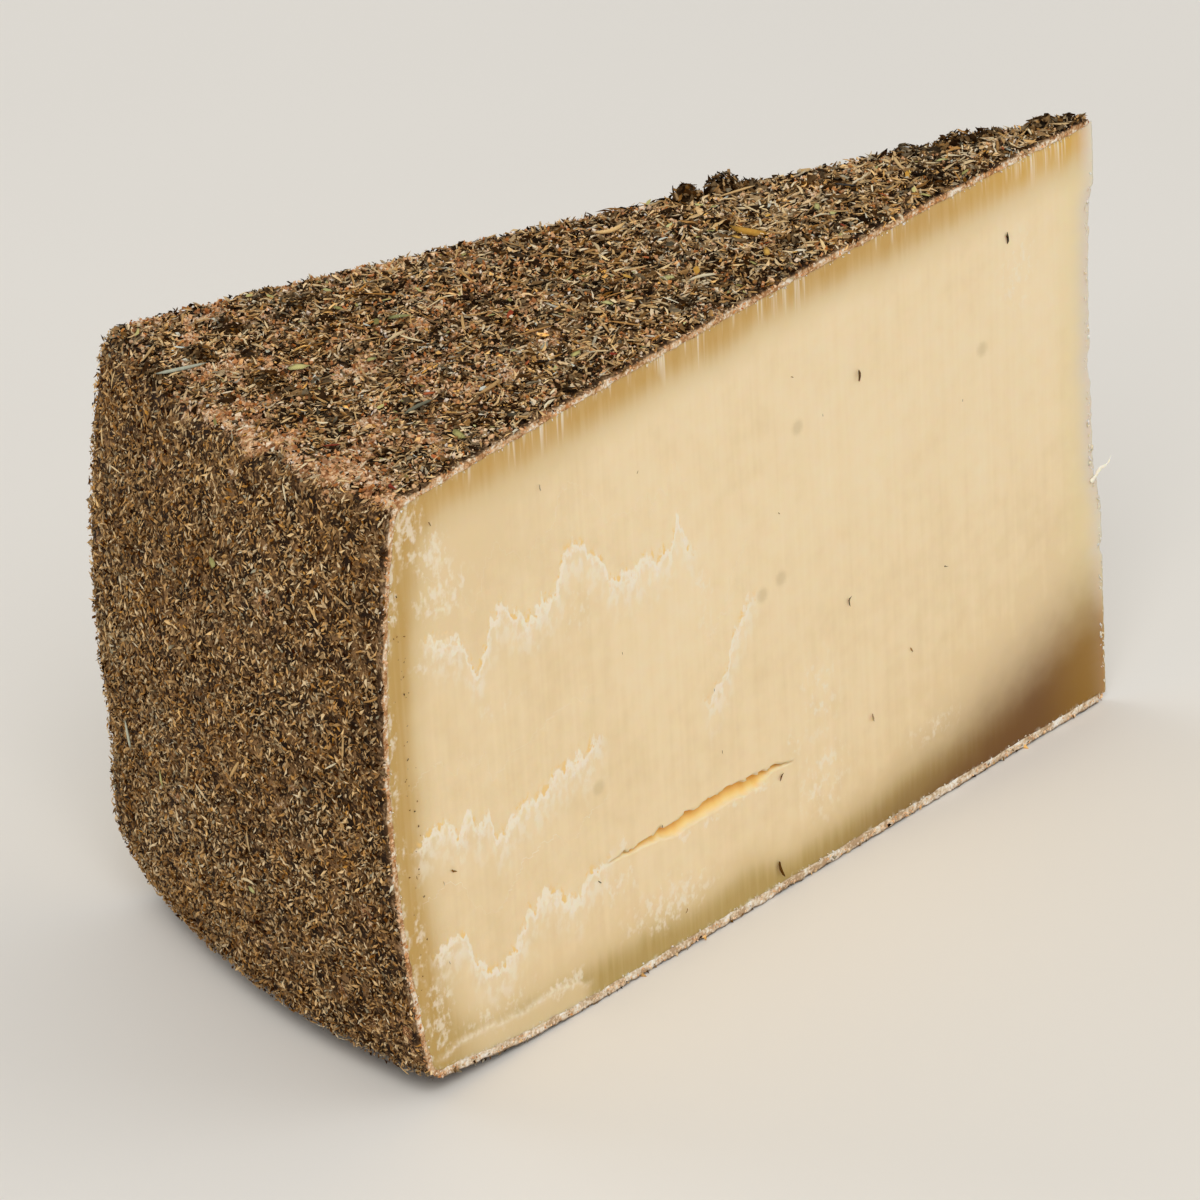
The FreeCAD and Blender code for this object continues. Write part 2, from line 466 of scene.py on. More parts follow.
class Graph:
    """A node tree and short ways to add to it."""

    def __init__(self, tree: NodeTree) -> None:
        """Takes the tree to add to."""
        self.tree = tree

    def node(self, kind: str, **settings: object) -> Node:
        """Adds a node of that kind with those settings."""
        node = self.tree.nodes.new(kind)
        for name, value in settings.items():
            setattr(node, name, value)
        return node

    def feed(self, target: Socket, source: object) -> None:
        """Links a socket to another, or sets its constant."""
        if isinstance(source, Socket):
            self.tree.links.new(source, target)
        else:
            target.default_value = source

    def math(self, operation: str, first: Value, second: Value, clamp: bool = False) -> Socket:
        """One sum of two values."""
        node = self.node("ShaderNodeMath", operation=operation, use_clamp=clamp)
        self.feed(node.inputs[0], first)
        self.feed(node.inputs[1], second)
        return node.outputs[0]

    def plus(self, first: Value, second: Value, clamp: bool = False) -> Socket:
        """Two values added."""
        return self.math("ADD", first, second, clamp)

    def minus(self, first: Value, second: Value) -> Socket:
        """The first value less the second."""
        return self.math("SUBTRACT", first, second)

    def times(self, first: Value, second: Value, clamp: bool = False) -> Socket:
        """Two values multiplied."""
        return self.math("MULTIPLY", first, second, clamp)

    def larger(self, first: Value, second: Value) -> Socket:
        """The larger of two values."""
        return self.math("MAXIMUM", first, second)

    def span(self, value: Value, low: float, high: float, to_low: float = 0.0,
             to_high: float = 1.0) -> Socket:
        """Eases a value's range onto another, and holds it inside."""
        node = self.node("ShaderNodeMapRange", interpolation_type="SMOOTHSTEP")
        self.feed(node.inputs["Value"], value)
        node.inputs["From Min"].default_value = low
        node.inputs["From Max"].default_value = high
        node.inputs["To Min"].default_value = to_low
        node.inputs["To Max"].default_value = to_high
        return node.outputs["Result"]

    def attribute(self, name: str) -> Socket:
        """A value that the mesh carries."""
        return self.node("ShaderNodeAttribute", attribute_name=name).outputs["Fac"]

    def place(self) -> Socket:
        """The surface's place in the frame."""
        return self.node("ShaderNodeTexCoord").outputs["Object"]

    def vector(self, x: Value, y: Value, z: Value = 0.0) -> Socket:
        """Three values as a place."""
        node = self.node("ShaderNodeCombineXYZ")
        for target, source in zip(node.inputs, (x, y, z)):
            self.feed(target, source)
        return node.outputs[0]

    def noise(self, scale: Value, detail: float = 2.0, at: Socket | None = None) -> Socket:
        """Soft noise from 0 to 1."""
        node = self.node("ShaderNodeTexNoise")
        self.feed(node.inputs["Vector"], at or self.place())
        self.feed(node.inputs["Scale"], scale)
        node.inputs["Detail"].default_value = detail
        return node.outputs["Fac"]

    def blend(self, share: Value, first: Tint, second: Tint, mode: str = "MIX") -> Socket:
        """Two colours mixed, each a socket or a display colour."""
        node = self.node("ShaderNodeMix", data_type="RGBA", blend_type=mode)
        self.feed(node.inputs[0], share)
        for number, tint in ((6, first), (7, second)):
            self.feed(node.inputs[number], linear(tint) if isinstance(tint, tuple) else tint)
        return node.outputs[2]

    def ramp(self, value: Value, stops: Stops) -> Socket:
        """Colours by value."""
        node = self.node("ShaderNodeValToRGB")
        elements = node.color_ramp.elements
        while len(elements) < len(stops):
            elements.new(0.5)
        for element, (at, colour) in zip(elements, stops):
            element.position = at
            element.color = linear(colour)
        self.feed(node.inputs[0], value)
        return node.outputs["Color"]

    def bump(self, height: Socket, depth: float, strength: float = 1.0) -> Socket:
        """A normal that follows a height from 0 to 1, depth in millimetres."""
        node = self.node("ShaderNodeBump")
        node.inputs["Strength"].default_value = strength
        node.inputs["Distance"].default_value = depth * MM
        self.feed(node.inputs["Height"], height)
        return node.outputs["Normal"]

    def group(self, tree: NodeTree, **values: Value) -> Node:
        """Places a shared group with its own values."""
        node = self.node("ShaderNodeGroup", node_tree=tree)
        for name, value in values.items():
            self.feed(node.inputs[name.replace("_", " ").title()], value)
        return node


class SharedEffects:
    """The node groups that more than one finish uses."""

    def __init__(self) -> None:
        """Builds each group once."""
        self.mottle = self.build_mottle()
        self.grain = self.build_grain()

    @staticmethod
    def new_group(name: str, inputs: dict[str, float],
                  output: str) -> tuple[Graph, Node, Node]:
        """An empty group with value sockets.

        Args:
            name: the group's name.
            inputs: each input's name and usual value.
            output: the output's name.

        Returns:
            Its graph, and its input and output nodes.
        """
        tree = bpy.data.node_groups.new(name, "ShaderNodeTree")
        for key, value in inputs.items():
            socket = tree.interface.new_socket(key, in_out="INPUT", socket_type="NodeSocketFloat")
            socket.default_value = value
        tree.interface.new_socket(output, in_out="OUTPUT", socket_type="NodeSocketFloat")
        graph = Graph(tree)
        return graph, graph.node("NodeGroupInput"), graph.node("NodeGroupOutput")

    def build_mottle(self) -> NodeTree:
        """Uneven tone: large soft patches with smaller ones in them."""
        graph, given, result = self.new_group(
            "uneven_tone", {"Patches": 120.0, "Flecks": 900.0, "Contrast": 1.0}, "Tone")
        patches = graph.noise(given.outputs["Patches"], detail=2.0)
        flecks = graph.noise(given.outputs["Flecks"], detail=2.0)
        both = graph.plus(graph.times(patches, 0.55), graph.times(flecks, 0.45))
        centred = graph.minus(both, 0.5)
        scaled = graph.times(centred, given.outputs["Contrast"])
        graph.feed(result.inputs["Tone"], graph.plus(scaled, 0.5, clamp=True))
        return graph.tree

    def build_grain(self) -> NodeTree:
        """Fine surface grain, as a height from 0 to 1."""
        graph, given, result = self.new_group(
            "fine_grain", {"Coarse": 900.0, "Fine": 3500.0}, "Height")
        coarse = graph.noise(given.outputs["Coarse"], detail=2.0)
        fine = graph.noise(given.outputs["Fine"], detail=1.0)
        height = graph.plus(graph.times(coarse, 0.65), graph.times(fine, 0.35))
        graph.feed(result.inputs["Height"], height)
        return graph.tree


def new_material(name: str, roughness: float = 0.5,
                 specular: float = 0.5) -> tuple[Material, Graph, Node]:
    """A material that has only its Principled shader.

    Args:
        name: the material's name.
        roughness: how matt it is, from 0 to 1.
        specular: how strongly it mirrors, 0.5 being a usual plastic.

    Returns:
        The material, its graph and its shader.
    """
    material = bpy.data.materials.new(name)
    material.use_nodes = True
    shader = material.node_tree.nodes["Principled BSDF"]
    shader.inputs["Roughness"].default_value = roughness
    shader.inputs["Specular IOR Level"].default_value = specular
    return material, Graph(material.node_tree), shader


def make_waxy(shader: Node, shares: tuple[float, float, float], depth: float) -> None:
    """Lets light soak in to a depth in millimetres, each colour to its own share of it."""
    for name, value in (("Weight", 0.5), ("Radius", shares), ("Scale", depth * MM)):
        shader.inputs[f"Subsurface {name}"].default_value = value


@dataclass(frozen=True)
class HerbFinish:
    """The finish of one kind of dried herb piece.

    Attributes:
        name: the material's name.
        tones: the colours that its pieces take, by their tone.
        sway: how far its pieces turn redder or bluer, by their warmth.
        grain_depth: of its surface grain, in millimetres; 0 for pieces too small to show any.
        fleck_scale: how fine the flecks within a piece are.
        fleck_strength: how much they change its tone.
        warm_shift: how much red, green and blue grow with warmth.
    """

    name: str
    tones: Stops
    sway: float = 1.0
    grain_depth: float = 0.0
    fleck_scale: float = 1700.0
    fleck_strength: float = 0.35
    warm_shift: tuple[float, float, float] = (0.42, -0.04, -0.85)

    def build(self, effects: SharedEffects) -> Material:
        """Makes the material."""
        material, graph, shader = new_material(self.name, roughness=0.8, specular=0.03)
        shifted = graph.minus(graph.noise(self.fleck_scale, detail=1.0), 0.5)
        tone = graph.plus(graph.attribute("tone"), graph.times(shifted, self.fleck_strength),
                          clamp=True)
        warmth = graph.times(graph.attribute("warmth"),
                             graph.span(tone, 0.0, 0.6, 1.6 * self.sway, self.sway))
        warmth = graph.plus(warmth, graph.span(tone, 0.0, 0.5, 0.3 * self.sway, 0.0))
        parts = (graph.plus(graph.times(warmth, part), 1.0) for part in self.warm_shift)
        colour = graph.blend(1.0, graph.ramp(tone, self.tones), graph.vector(*parts), "MULTIPLY")
        graph.feed(shader.inputs["Base Color"], colour)
        if self.grain_depth:
            grain = graph.group(effects.grain, coarse=1600.0, fine=5000.0)
            graph.feed(shader.inputs["Normal"],
                       graph.bump(grain.outputs["Height"], self.grain_depth, 0.8))
        return material


@dataclass(frozen=True)
class RindFinish:
    """The finish of the rind: dark brown where herbs lie, partly their dust and partly painted
    shade between them, tan and crumbly where it is bare, and pinkish with white flecks where it is
    cut, paler on the underside as painted light against the shade near the floor."""

    name: str = "rind_finish"
    # Dark where herbs lie: partly the herbs' brown dust, partly painted shade in the gaps between
    # them.
    herb_dust_and_gap_shade: Stops = ((0.30, (38, 22, 8)), (0.45, (66, 44, 22)), (0.58, (100, 72, 42)),
                     (0.72, (148, 112, 73)))
    bare: Stops = ((0.25, (148, 98, 60)), (0.45, (198, 148, 102)), (0.62, (226, 184, 140)),
                   (0.80, (242, 220, 190)))
    cut: Stops = ((0.30, (166, 118, 74)), (0.44, (198, 156, 112)), (0.60, (220, 190, 154)),
                  (0.78, (242, 231, 212)))
    # Paler where the cut runs along the underside: painted light that offsets the shade near the
    # floor.
    cut_below: Stops = ((0.30, (186, 156, 122)), (0.44, (214, 190, 158)),
                        (0.60, (230, 213, 188)), (0.78, (246, 240, 228)))

    def build(self, effects: SharedEffects) -> Material:
        """Makes the material."""
        material, graph, shader = new_material(self.name, roughness=0.85, specular=0.2)
        mottle = graph.group(effects.mottle, patches=420.0, flecks=2100.0, contrast=2.6)
        tone = mottle.outputs["Tone"]
        grain = graph.group(effects.grain, coarse=1300.0, fine=4200.0)
        broken = graph.plus(graph.attribute("bare"),
                            graph.span(grain.outputs["Height"], 0.3, 0.7, -0.3, 0.3))
        colour = graph.blend(graph.span(broken, 0.35, 0.65), graph.ramp(tone, self.herb_dust_and_gap_shade),
                             graph.ramp(tone, self.bare))
        # The cut rind takes the paler ramp on the underside, painted light against the shade near
        # the floor.
        cut = graph.blend(graph.attribute("below"), graph.ramp(tone, self.cut),
                          graph.ramp(tone, self.cut_below))
        colour = graph.blend(graph.attribute("cut"), colour, cut)
        graph.feed(shader.inputs["Base Color"], colour)
        graph.feed(shader.inputs["Normal"], graph.bump(grain.outputs["Height"], 0.35))
        return material


@dataclass(frozen=True)
class PasteFinish:
    """The finish of the paste: pale straw, more amber beside the rind, whitish where it tore."""

    name: str = "paste_finish"
    pale: Stops = ((0.25, (230, 205, 161)), (0.50, (238, 215, 174)), (0.75, (242, 222, 185)))
    warm_band: Colour = (198, 158, 88)
    golden_band: Colour = (212, 167, 80)
    olive_band: Colour = (182, 154, 90)
    band_fade: Colour = (209, 184, 132)
    # Painted shade at the foot of the tip: dark brown away from the tip, golden in the very corner
    # as painted light through the thin paste.
    amber: Colour = (108, 66, 0)
    gilt: Colour = (144, 101, 0)
    tip_glow: Colour = (229, 212, 162)
    chalk: Colour = (240, 229, 208)
    # Inside the split: its own gold, turning darker orange towards the upper lip as painted shade
    # under that lip.
    ember: Stops = ((0.0, (246, 222, 166)), (0.35, (245, 202, 114)), (0.75, (236, 172, 62)),
                    (1.0, (214, 138, 36)))
    # Painted golden shade in the small crevices just above the torn lips.
    gold: Colour = (238, 196, 112)
    spot: Colour = (206, 182, 138)
    edge: Colour = (218, 206, 188)

    def build(self, effects: SharedEffects) -> Material:
        """Makes the material."""
        material, graph, shader = new_material(self.name, specular=0.35)
        along, height = graph.attribute("along"), graph.attribute("height")
        drawn = graph.vector(along, graph.times(height, 0.03))
        streaks = graph.noise(0.9, detail=2.0, at=drawn)
        teeth = graph.noise(1.8, detail=1.0, at=drawn)
        combed = graph.vector(along, graph.times(height, 0.45))
        hairs = graph.noise(1.3, detail=3.0, at=combed)
        mottle = graph.group(effects.mottle, patches=38.0, flecks=300.0, contrast=1.0)
        fine = graph.noise(1500.0, detail=2.0)
        broken = graph.plus(graph.times(hairs, 0.5), graph.times(fine, 0.5))

        streaked = graph.minus(streaks, 0.5)
        tone = graph.plus(mottle.outputs["Tone"], graph.times(streaked, 0.30))
        tone = graph.plus(tone, graph.span(height, 5.0, 60.0, -0.05, 0.05))
        corner = graph.times(graph.span(along, 100.0, 138.0), graph.span(height, 48.0, 76.0))
        tone = graph.minus(tone, graph.times(corner, 0.28))
        tone = graph.minus(tone, graph.span(along, 84.0, 122.0, 0.0, 0.13))
        wobble = graph.minus(mottle.outputs["Tone"], 0.5)
        foot = graph.plus(height, graph.times(along, 0.36))
        foot = graph.plus(foot, graph.times(wobble, 6.0))
        # Painted shade: darker low down towards the tip, where a neighbouring wedge's shadow
        # falls.
        tone = graph.minus(tone, graph.span(foot, 18.0, 46.0, 0.36, 0.0))
        colour = graph.ramp(tone, self.pale)
        band = graph.plus(graph.attribute("band"), graph.times(wobble, 0.25))
        band = graph.times(band, graph.span(streaks, 0.3, 0.7, 0.92, 1.06), clamp=True)
        warm = graph.blend(graph.span(along, 4.0, 40.0), self.golden_band, self.warm_band)
        tint = graph.blend(graph.attribute("olive"), warm, self.olive_band)
        tint = graph.blend(graph.span(band, 0.30, 1.0), self.band_fade, tint)
        glow = graph.span(along, 2.0, 12.0, 0.75, 0.0)
        colour = graph.blend(glow, colour, self.tip_glow)
        colour = graph.blend(band, colour, tint)
        # The amber corner at the foot of the tip: partly the paste's own amber, partly painted
        # shade of a neighbouring wedge and a painted golden glow.
        stain = graph.math("POWER", graph.span(foot, 11.0, 34.0, 0.98, 0.0), 1.6)
        stain = graph.times(stain, graph.attribute("stain"))
        amber = graph.blend(graph.span(along, 2.0, 18.0), self.gilt, self.amber)
        colour = graph.blend(stain, colour, amber)

        clots = graph.noise(0.75, detail=3.0, at=graph.vector(along, graph.times(height, 0.60)))
        drag = graph.times(graph.attribute("drag"), graph.span(teeth, 0.47, 0.66))
        white, crevice = self.torn_places(graph, broken, clots)
        ridge = graph.times(graph.attribute("ridge"), graph.span(broken, 0.35, 0.60, 0.25, 0.9))
        white = graph.larger(white, graph.larger(drag, ridge))
        ember = graph.ramp(graph.attribute("ember"), self.ember)
        # Painted golden shade in the small crevices by the torn lips.
        colour = graph.blend(graph.times(crevice, 0.7), colour, self.gold)
        colour = graph.blend(graph.times(white, 0.9), colour, self.chalk)
        colour = graph.blend(graph.attribute("spot"), colour, self.spot)
        # The split's gold, darker towards its upper lip as painted shade.
        colour = graph.blend(graph.attribute("split"), colour, ember)
        # The whitish tip edge fades where that painted shade lies.
        clear = graph.minus(1.0, graph.times(stain, 0.9))
        colour = graph.blend(graph.times(graph.attribute("edge"), clear), colour, self.edge)
        graph.feed(shader.inputs["Base Color"], colour)

        rougher = graph.times(white, 0.25)
        graph.feed(shader.inputs["Roughness"], graph.plus(rougher, 0.46))
        make_waxy(shader, (1.0, 0.62, 0.30), depth=2.0)
        near_tear = graph.times(graph.attribute("torn"),
                                graph.span(graph.attribute("tear"), -4.0, -0.5))
        loose = graph.larger(near_tear, graph.attribute("chalk"))
        relief = graph.times(fine, graph.span(loose, 0.0, 1.0, 0.05, 0.8))
        graph.feed(shader.inputs["Normal"], graph.bump(relief, 0.14, 0.6))
        return material

    @staticmethod
    def torn_places(graph: Graph, broken: Socket, clots: Socket) -> tuple[Socket, Socket]:
        """Where the paste is whitish, and the painted golden shade in the crevices by its torn
        lips.

        Args:
            graph: the material's node tree.
            broken: fine noise from 0 to 1, drawn out upwards.
            clots: coarser noise from 0 to 1, drawn out upwards.

        Returns:
            The whitish mask and the painted shade's mask.
        """
        torn = graph.attribute("torn")
        over = graph.plus(graph.attribute("tear"), graph.span(clots, 0.3, 0.7, -1.0, 1.0))
        over = graph.plus(over, graph.span(broken, 0.3, 0.7, -0.4, 0.4))
        lip = graph.times(graph.span(over, -2.2, -0.6), graph.span(over, -0.1, 0.5, 1.0, 0.0))
        lip = graph.times(lip, graph.span(broken, 0.35, 0.50, 0.5, 1.0))
        haze = graph.times(graph.span(over, -7.5, -0.6), graph.span(over, -0.4, 0.1, 1.0, 0.0))
        haze = graph.times(haze, graph.span(clots, 0.40, 0.60, 0.18, 0.75))
        white = graph.times(graph.larger(lip, haze), torn)
        chalk = graph.attribute("chalk")
        mixed = graph.plus(graph.times(broken, 0.5), graph.times(clots, 0.5))
        raised = graph.plus(mixed, graph.times(chalk, 0.11))
        patches = graph.times(graph.span(raised, 0.53, 0.66), graph.span(chalk, 0.03, 0.45))
        white = graph.larger(white, graph.times(patches, 0.72))
        window = graph.times(graph.span(over, -0.1, 0.4), graph.span(over, 1.2, 2.6, 1.0, 0.0))
        crevice = graph.times(window, graph.span(mixed, 0.51, 0.60))
        return white, graph.times(crevice, torn)


# === The paste ===

class CutSide(Enum):
    """The two cut faces, by the side on which they lie."""

    FRONT = -1
    BACK = 1


@dataclass(frozen=True)
class CutMarks:
    """What the knife left on one cut face.  Places are distance from the axis and height.

    Attributes:
        tears: lines along which the paste tore, each from the rind inwards.
        split: the open crack, as places and half widths.
        flaps: smeared ridges of paste.
        spots: dull round spots.
        chalky: whitish patches, as places, half sizes and strengths.
        stain: strength of the amber corner at the tip's foot, partly painted shade.
        seed: picks the face's own unevenness.
    """

    tears: tuple[tuple[tuple[float, float], ...], ...]
    split: tuple[tuple[float, float, float], ...] = ()
    flaps: tuple[tuple[tuple[float, float], ...], ...] = ()
    spots: tuple[tuple[float, float], ...] = ()
    chalky: tuple[tuple[float, float, float, float, float], ...] = ()
    stain: float = 1.0
    seed: int = 1


FRONT_MARKS = CutMarks(
    tears=(
        ((140.5, 66.5), (134.5, 64.3), (131.8, 59.0), (128.8, 64.4), (125.0, 65.4),
         (121.6, 62.6), (116.5, 65.0), (111.4, 68.0), (106.6, 64.0), (103.5, 60.0),
         (98.6, 61.0), (93.4, 60.5), (91.3, 64.8), (89.2, 59.3)),
        ((86.9, 36.0), (82.9, 38.5), (81.4, 43.0), (77.4, 48.0)),
        ((145.0, 38.0), (140.0, 39.7), (137.3, 36.4), (135.6, 39.2), (133.8, 36.2),
         (131.4, 38.0), (130.6, 32.8), (126.8, 34.4), (120.4, 36.4), (113.4, 38.2),
         (109.2, 38.6)),
        ((143.0, 21.0), (137.6, 22.2), (136.3, 17.3), (132.9, 13.9), (127.6, 15.0),
         (124.9, 20.3), (119.2, 20.7), (115.7, 17.0), (112.6, 20.2), (109.0, 20.4)),
    ),
    split=((109.5, 20.0, 0.05), (104.0, 20.0, 0.35), (100.0, 19.9, 0.60), (95.0, 19.5, 1.20),
           (91.0, 19.8, 1.10), (87.5, 19.9, 1.25), (82.0, 19.7, 1.15), (77.6, 19.3, 1.10),
           (75.4, 20.0, 0.40), (72.5, 19.6, 0.22), (70.3, 19.2, 0.05)),
    flaps=(((143.5, 5.3), (141.5, 6.2), (136.0, 6.4), (126.7, 5.6), (121.7, 5.9),
            (116.7, 5.1), (114.8, 3.6)),),
    spots=((110, 32), (26, 66), (66, 69), (71, 48), (75, 47)),
    chalky=(
        (142.8, 84.0, 2.2, 4.2, 1.0), (138.5, 78.0, 2.4, 3.2, 0.9), (137.5, 72.4, 4.2, 3.0, 0.8),
        (146.6, 76.5, 1.1, 5.0, 0.9), (148.4, 56.0, 1.0, 4.0, 0.8), (148.6, 47.5, 0.9, 2.2, 1.0),
        (148.4, 38.0, 1.0, 2.6, 0.7), (146.2, 24.0, 1.0, 5.0, 0.6), (143.5, 12.0, 2.2, 5.0, 0.8),
        (139.0, 64.0, 3.6, 2.4, 0.7), (108.0, 16.0, 5.0, 2.4, 0.6), (97.0, 9.0, 7.5, 3.2, 0.75),
        (64.0, 14.0, 5.0, 5.5, 0.55), (64.0, 27.0, 4.0, 7.0, 0.45), (18.0, 75.0, 4.5, 6.0, 0.40),
        (132.0, 8.0, 8.0, 3.0, 0.4), (112.0, 60.0, 4.0, 4.0, 0.4), (87.0, 52.0, 2.2, 7.0, 0.4),
        (119.0, 5.6, 3.4, 1.2, 1.0), (40.0, 12.0, 6.0, 2.0, 0.4), (128.0, 52.0, 6.0, 1.6, 0.35),
        (76.5, 17.7, 1.8, 0.7, 1.0), (82.5, 17.7, 1.6, 0.6, 0.9), (88.0, 17.4, 1.8, 0.6, 0.9),
        (93.5, 17.3, 1.4, 0.7, 0.8), (70.0, 21.8, 1.3, 2.2, 0.6), (106.0, 21.4, 2.0, 1.2, 0.7),
    ),
    seed=11,
)

BACK_MARKS = CutMarks(
    tears=(
        ((144, 60), (140, 57.5), (137.2, 61.5), (135.6, 57), (130, 62.4), (124, 60.6),
         (121.4, 55), (118.6, 58.4), (113, 57)),
        ((146, 31), (141, 33.4), (138.6, 28), (134, 30.6), (131.2, 36), (126, 33.6),
         (123.4, 27.4), (117, 29.6)),
        ((96, 41), (92, 45.4), (88, 44.2), (85.4, 49.6)),
        ((72, 43), (67, 40.6), (65, 44), (59, 41.8)),
    ),
    spots=((120, 72), (52, 61), (84, 33)),
    chalky=(
        (144.0, 80.0, 2.2, 5.0, 0.9), (147.5, 50.0, 1.0, 6.0, 0.9), (146.0, 20.0, 1.4, 5.0, 0.8),
        (118.0, 66.0, 7.0, 3.0, 0.5), (104.0, 10.0, 9.0, 2.6, 0.7), (58.0, 52.0, 5.0, 6.0, 0.4),
        (30.0, 20.0, 6.0, 5.0, 0.4), (128.0, 40.0, 6.0, 2.4, 0.5),
    ),
    # The back face takes half of the painted shade at the foot of the tip.
    stain=0.5,
    seed=47,
)


@dataclass
class PasteBody:
    """The paste: two cut faces, and the plain surface under the rind that joins them.

    Attributes:
        wedge: the wedge in the frame.
        inset: how deep the paste lies under the wheel's surface.
        under_inset: how much deeper it lies on the underside.
        column_spans: spacing away from the tip, as the end of each span and its spacing.
        row_spans: the same up the face, finest about the split.
        rings: how many strips join the two faces.
    """

    wedge: Wedge
    inset: float = 0.55
    under_inset: float = 0.6
    column_spans: tuple[tuple[float, float], ...] = ((8, 0.4), (60, 0.62), (84, 0.5), (148, 0.38))
    row_spans: tuple[tuple[float, float], ...] = ((16.2, 0.44), (21.2, 0.2), (89.5, 0.45))
    rings: int = 4

    def tip_edge(self, z: Array) -> Array:
        """How far from the axis the tip's ragged edge stands, by height."""
        bow = 0.15 + 1.75 * ease_between(z, 29.0, 42.0) * ease_between(z, 86.0, 70.0)
        ragged = 0.14 * rough(columns(z / 1.9), 5) + 0.14 * lattice(columns(z / 0.55), 9)
        chips = 0.5 * ease_between(lattice(columns(z / 3.1), 21), 0.45, 0.8)
        return np.maximum(bow + ragged + chips, 0.12)

    def patch(self) -> tuple[Array, Array]:
        """The cut faces' grid, as distance from the axis and height, by column and row."""
        outline = self.wedge.outline
        s = graded(self.column_spans)[:, None]
        t = graded(self.row_spans)[None, :]
        walks = (
            s * outline.shoulder_mark,
            outline.length - s * (outline.length - outline.heel_mark),
            outline.heel_mark + t * (outline.shoulder_mark - outline.heel_mark),
        )
        top, base, side = (
            outline.at(walk, self.inset + self.under_inset * outline.under(walk))[:2]
            for walk in walks
        )
        grid = []
        for upper, lower, rim in zip(top, base, side):
            tip = (1 - t) * lower[0] + t * upper[0]
            corners = (1 - s) * tip + s * ((1 - t) * lower[-1] + t * upper[-1])
            grid.append((1 - t) * lower + t * upper + (1 - s) * tip + s * rim - corners)
        r, z = grid
        return r + self.tip_edge(z[0])[None, :] * np.exp(-r / 5.0), z

    def build(self, material: Material) -> Object:
        """Makes the paste and puts it in place of the frame's plain wedge.

        Args:
            material: the paste's finish.

        Returns:
            The piece.
        """
        sculpt = Sculpt("paste")
        r, z = self.patch()
        wedge = self.wedge
        starts = {}
        for side, marks in ((CutSide.FRONT, FRONT_MARKS), (CutSide.BACK, BACK_MARKS)):
            step = 1 if side is CutSide.FRONT else 2
            face_r, face_z = r[::step, ::step], z[::step, ::step]
            values = MarkedFace(self, marks, face_r.ravel(), face_z.ravel()).values()
            angle = side.value * wedge.half_angle
            points = wedge.place(face_r.ravel(), angle, face_z.ravel())
            points += side.value * values.pop("relief")[:, None] * wedge.across(angle)
            faces = grid_faces(*face_r.shape, flip=side is CutSide.BACK)
            starts[side] = sculpt.add(points, [faces], **values)

        fine = self.loop(r.shape)
        coarse = self.loop(r[::2, ::2].shape) + starts[CutSide.BACK]
        ring_r, ring_z = r.ravel()[fine], z.ravel()[fine]
        previous = fine
        for number in range(1, self.rings):
            angle = wedge.half_angle * (2 * number / self.rings - 1)
            values = MarkedFace(self, FRONT_MARKS, ring_r, ring_z).values()
            values.pop("relief")
            start = sculpt.add(wedge.place(ring_r, angle, ring_z), [], **values)
            ring = start + np.arange(len(fine))
            sculpt.faces.append(ring_faces(previous, ring))
            previous = ring
        sculpt.faces.append(self.stitch(previous, coarse))
        piece = sculpt.finish(material, "paste", smooth=True)
        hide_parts(NODE)
        return piece

    @staticmethod
    def loop(shape: tuple[int, int]) -> Array:
        """A grid's border: out along its first row, up, back along its last and down."""
        number = np.arange(shape[0] * shape[1]).reshape(shape)
        return np.concatenate([number[:-1, 0], number[-1, :-1], number[:0:-1, -1],
                               number[0, :0:-1]])

    @staticmethod
    def stitch(fine: Array, coarse: Array) -> Array:
        """Triangles between a ring and one of half as many places."""
        first, middle, last = fine[::2], fine[1::2], np.roll(fine, -2)[::2]
        following = np.roll(coarse, -1)
        return np.concatenate([
            np.stack([first, middle, coarse], axis=1),
            np.stack([middle, following, coarse], axis=1),
            np.stack([middle, last, following], axis=1),
        ])


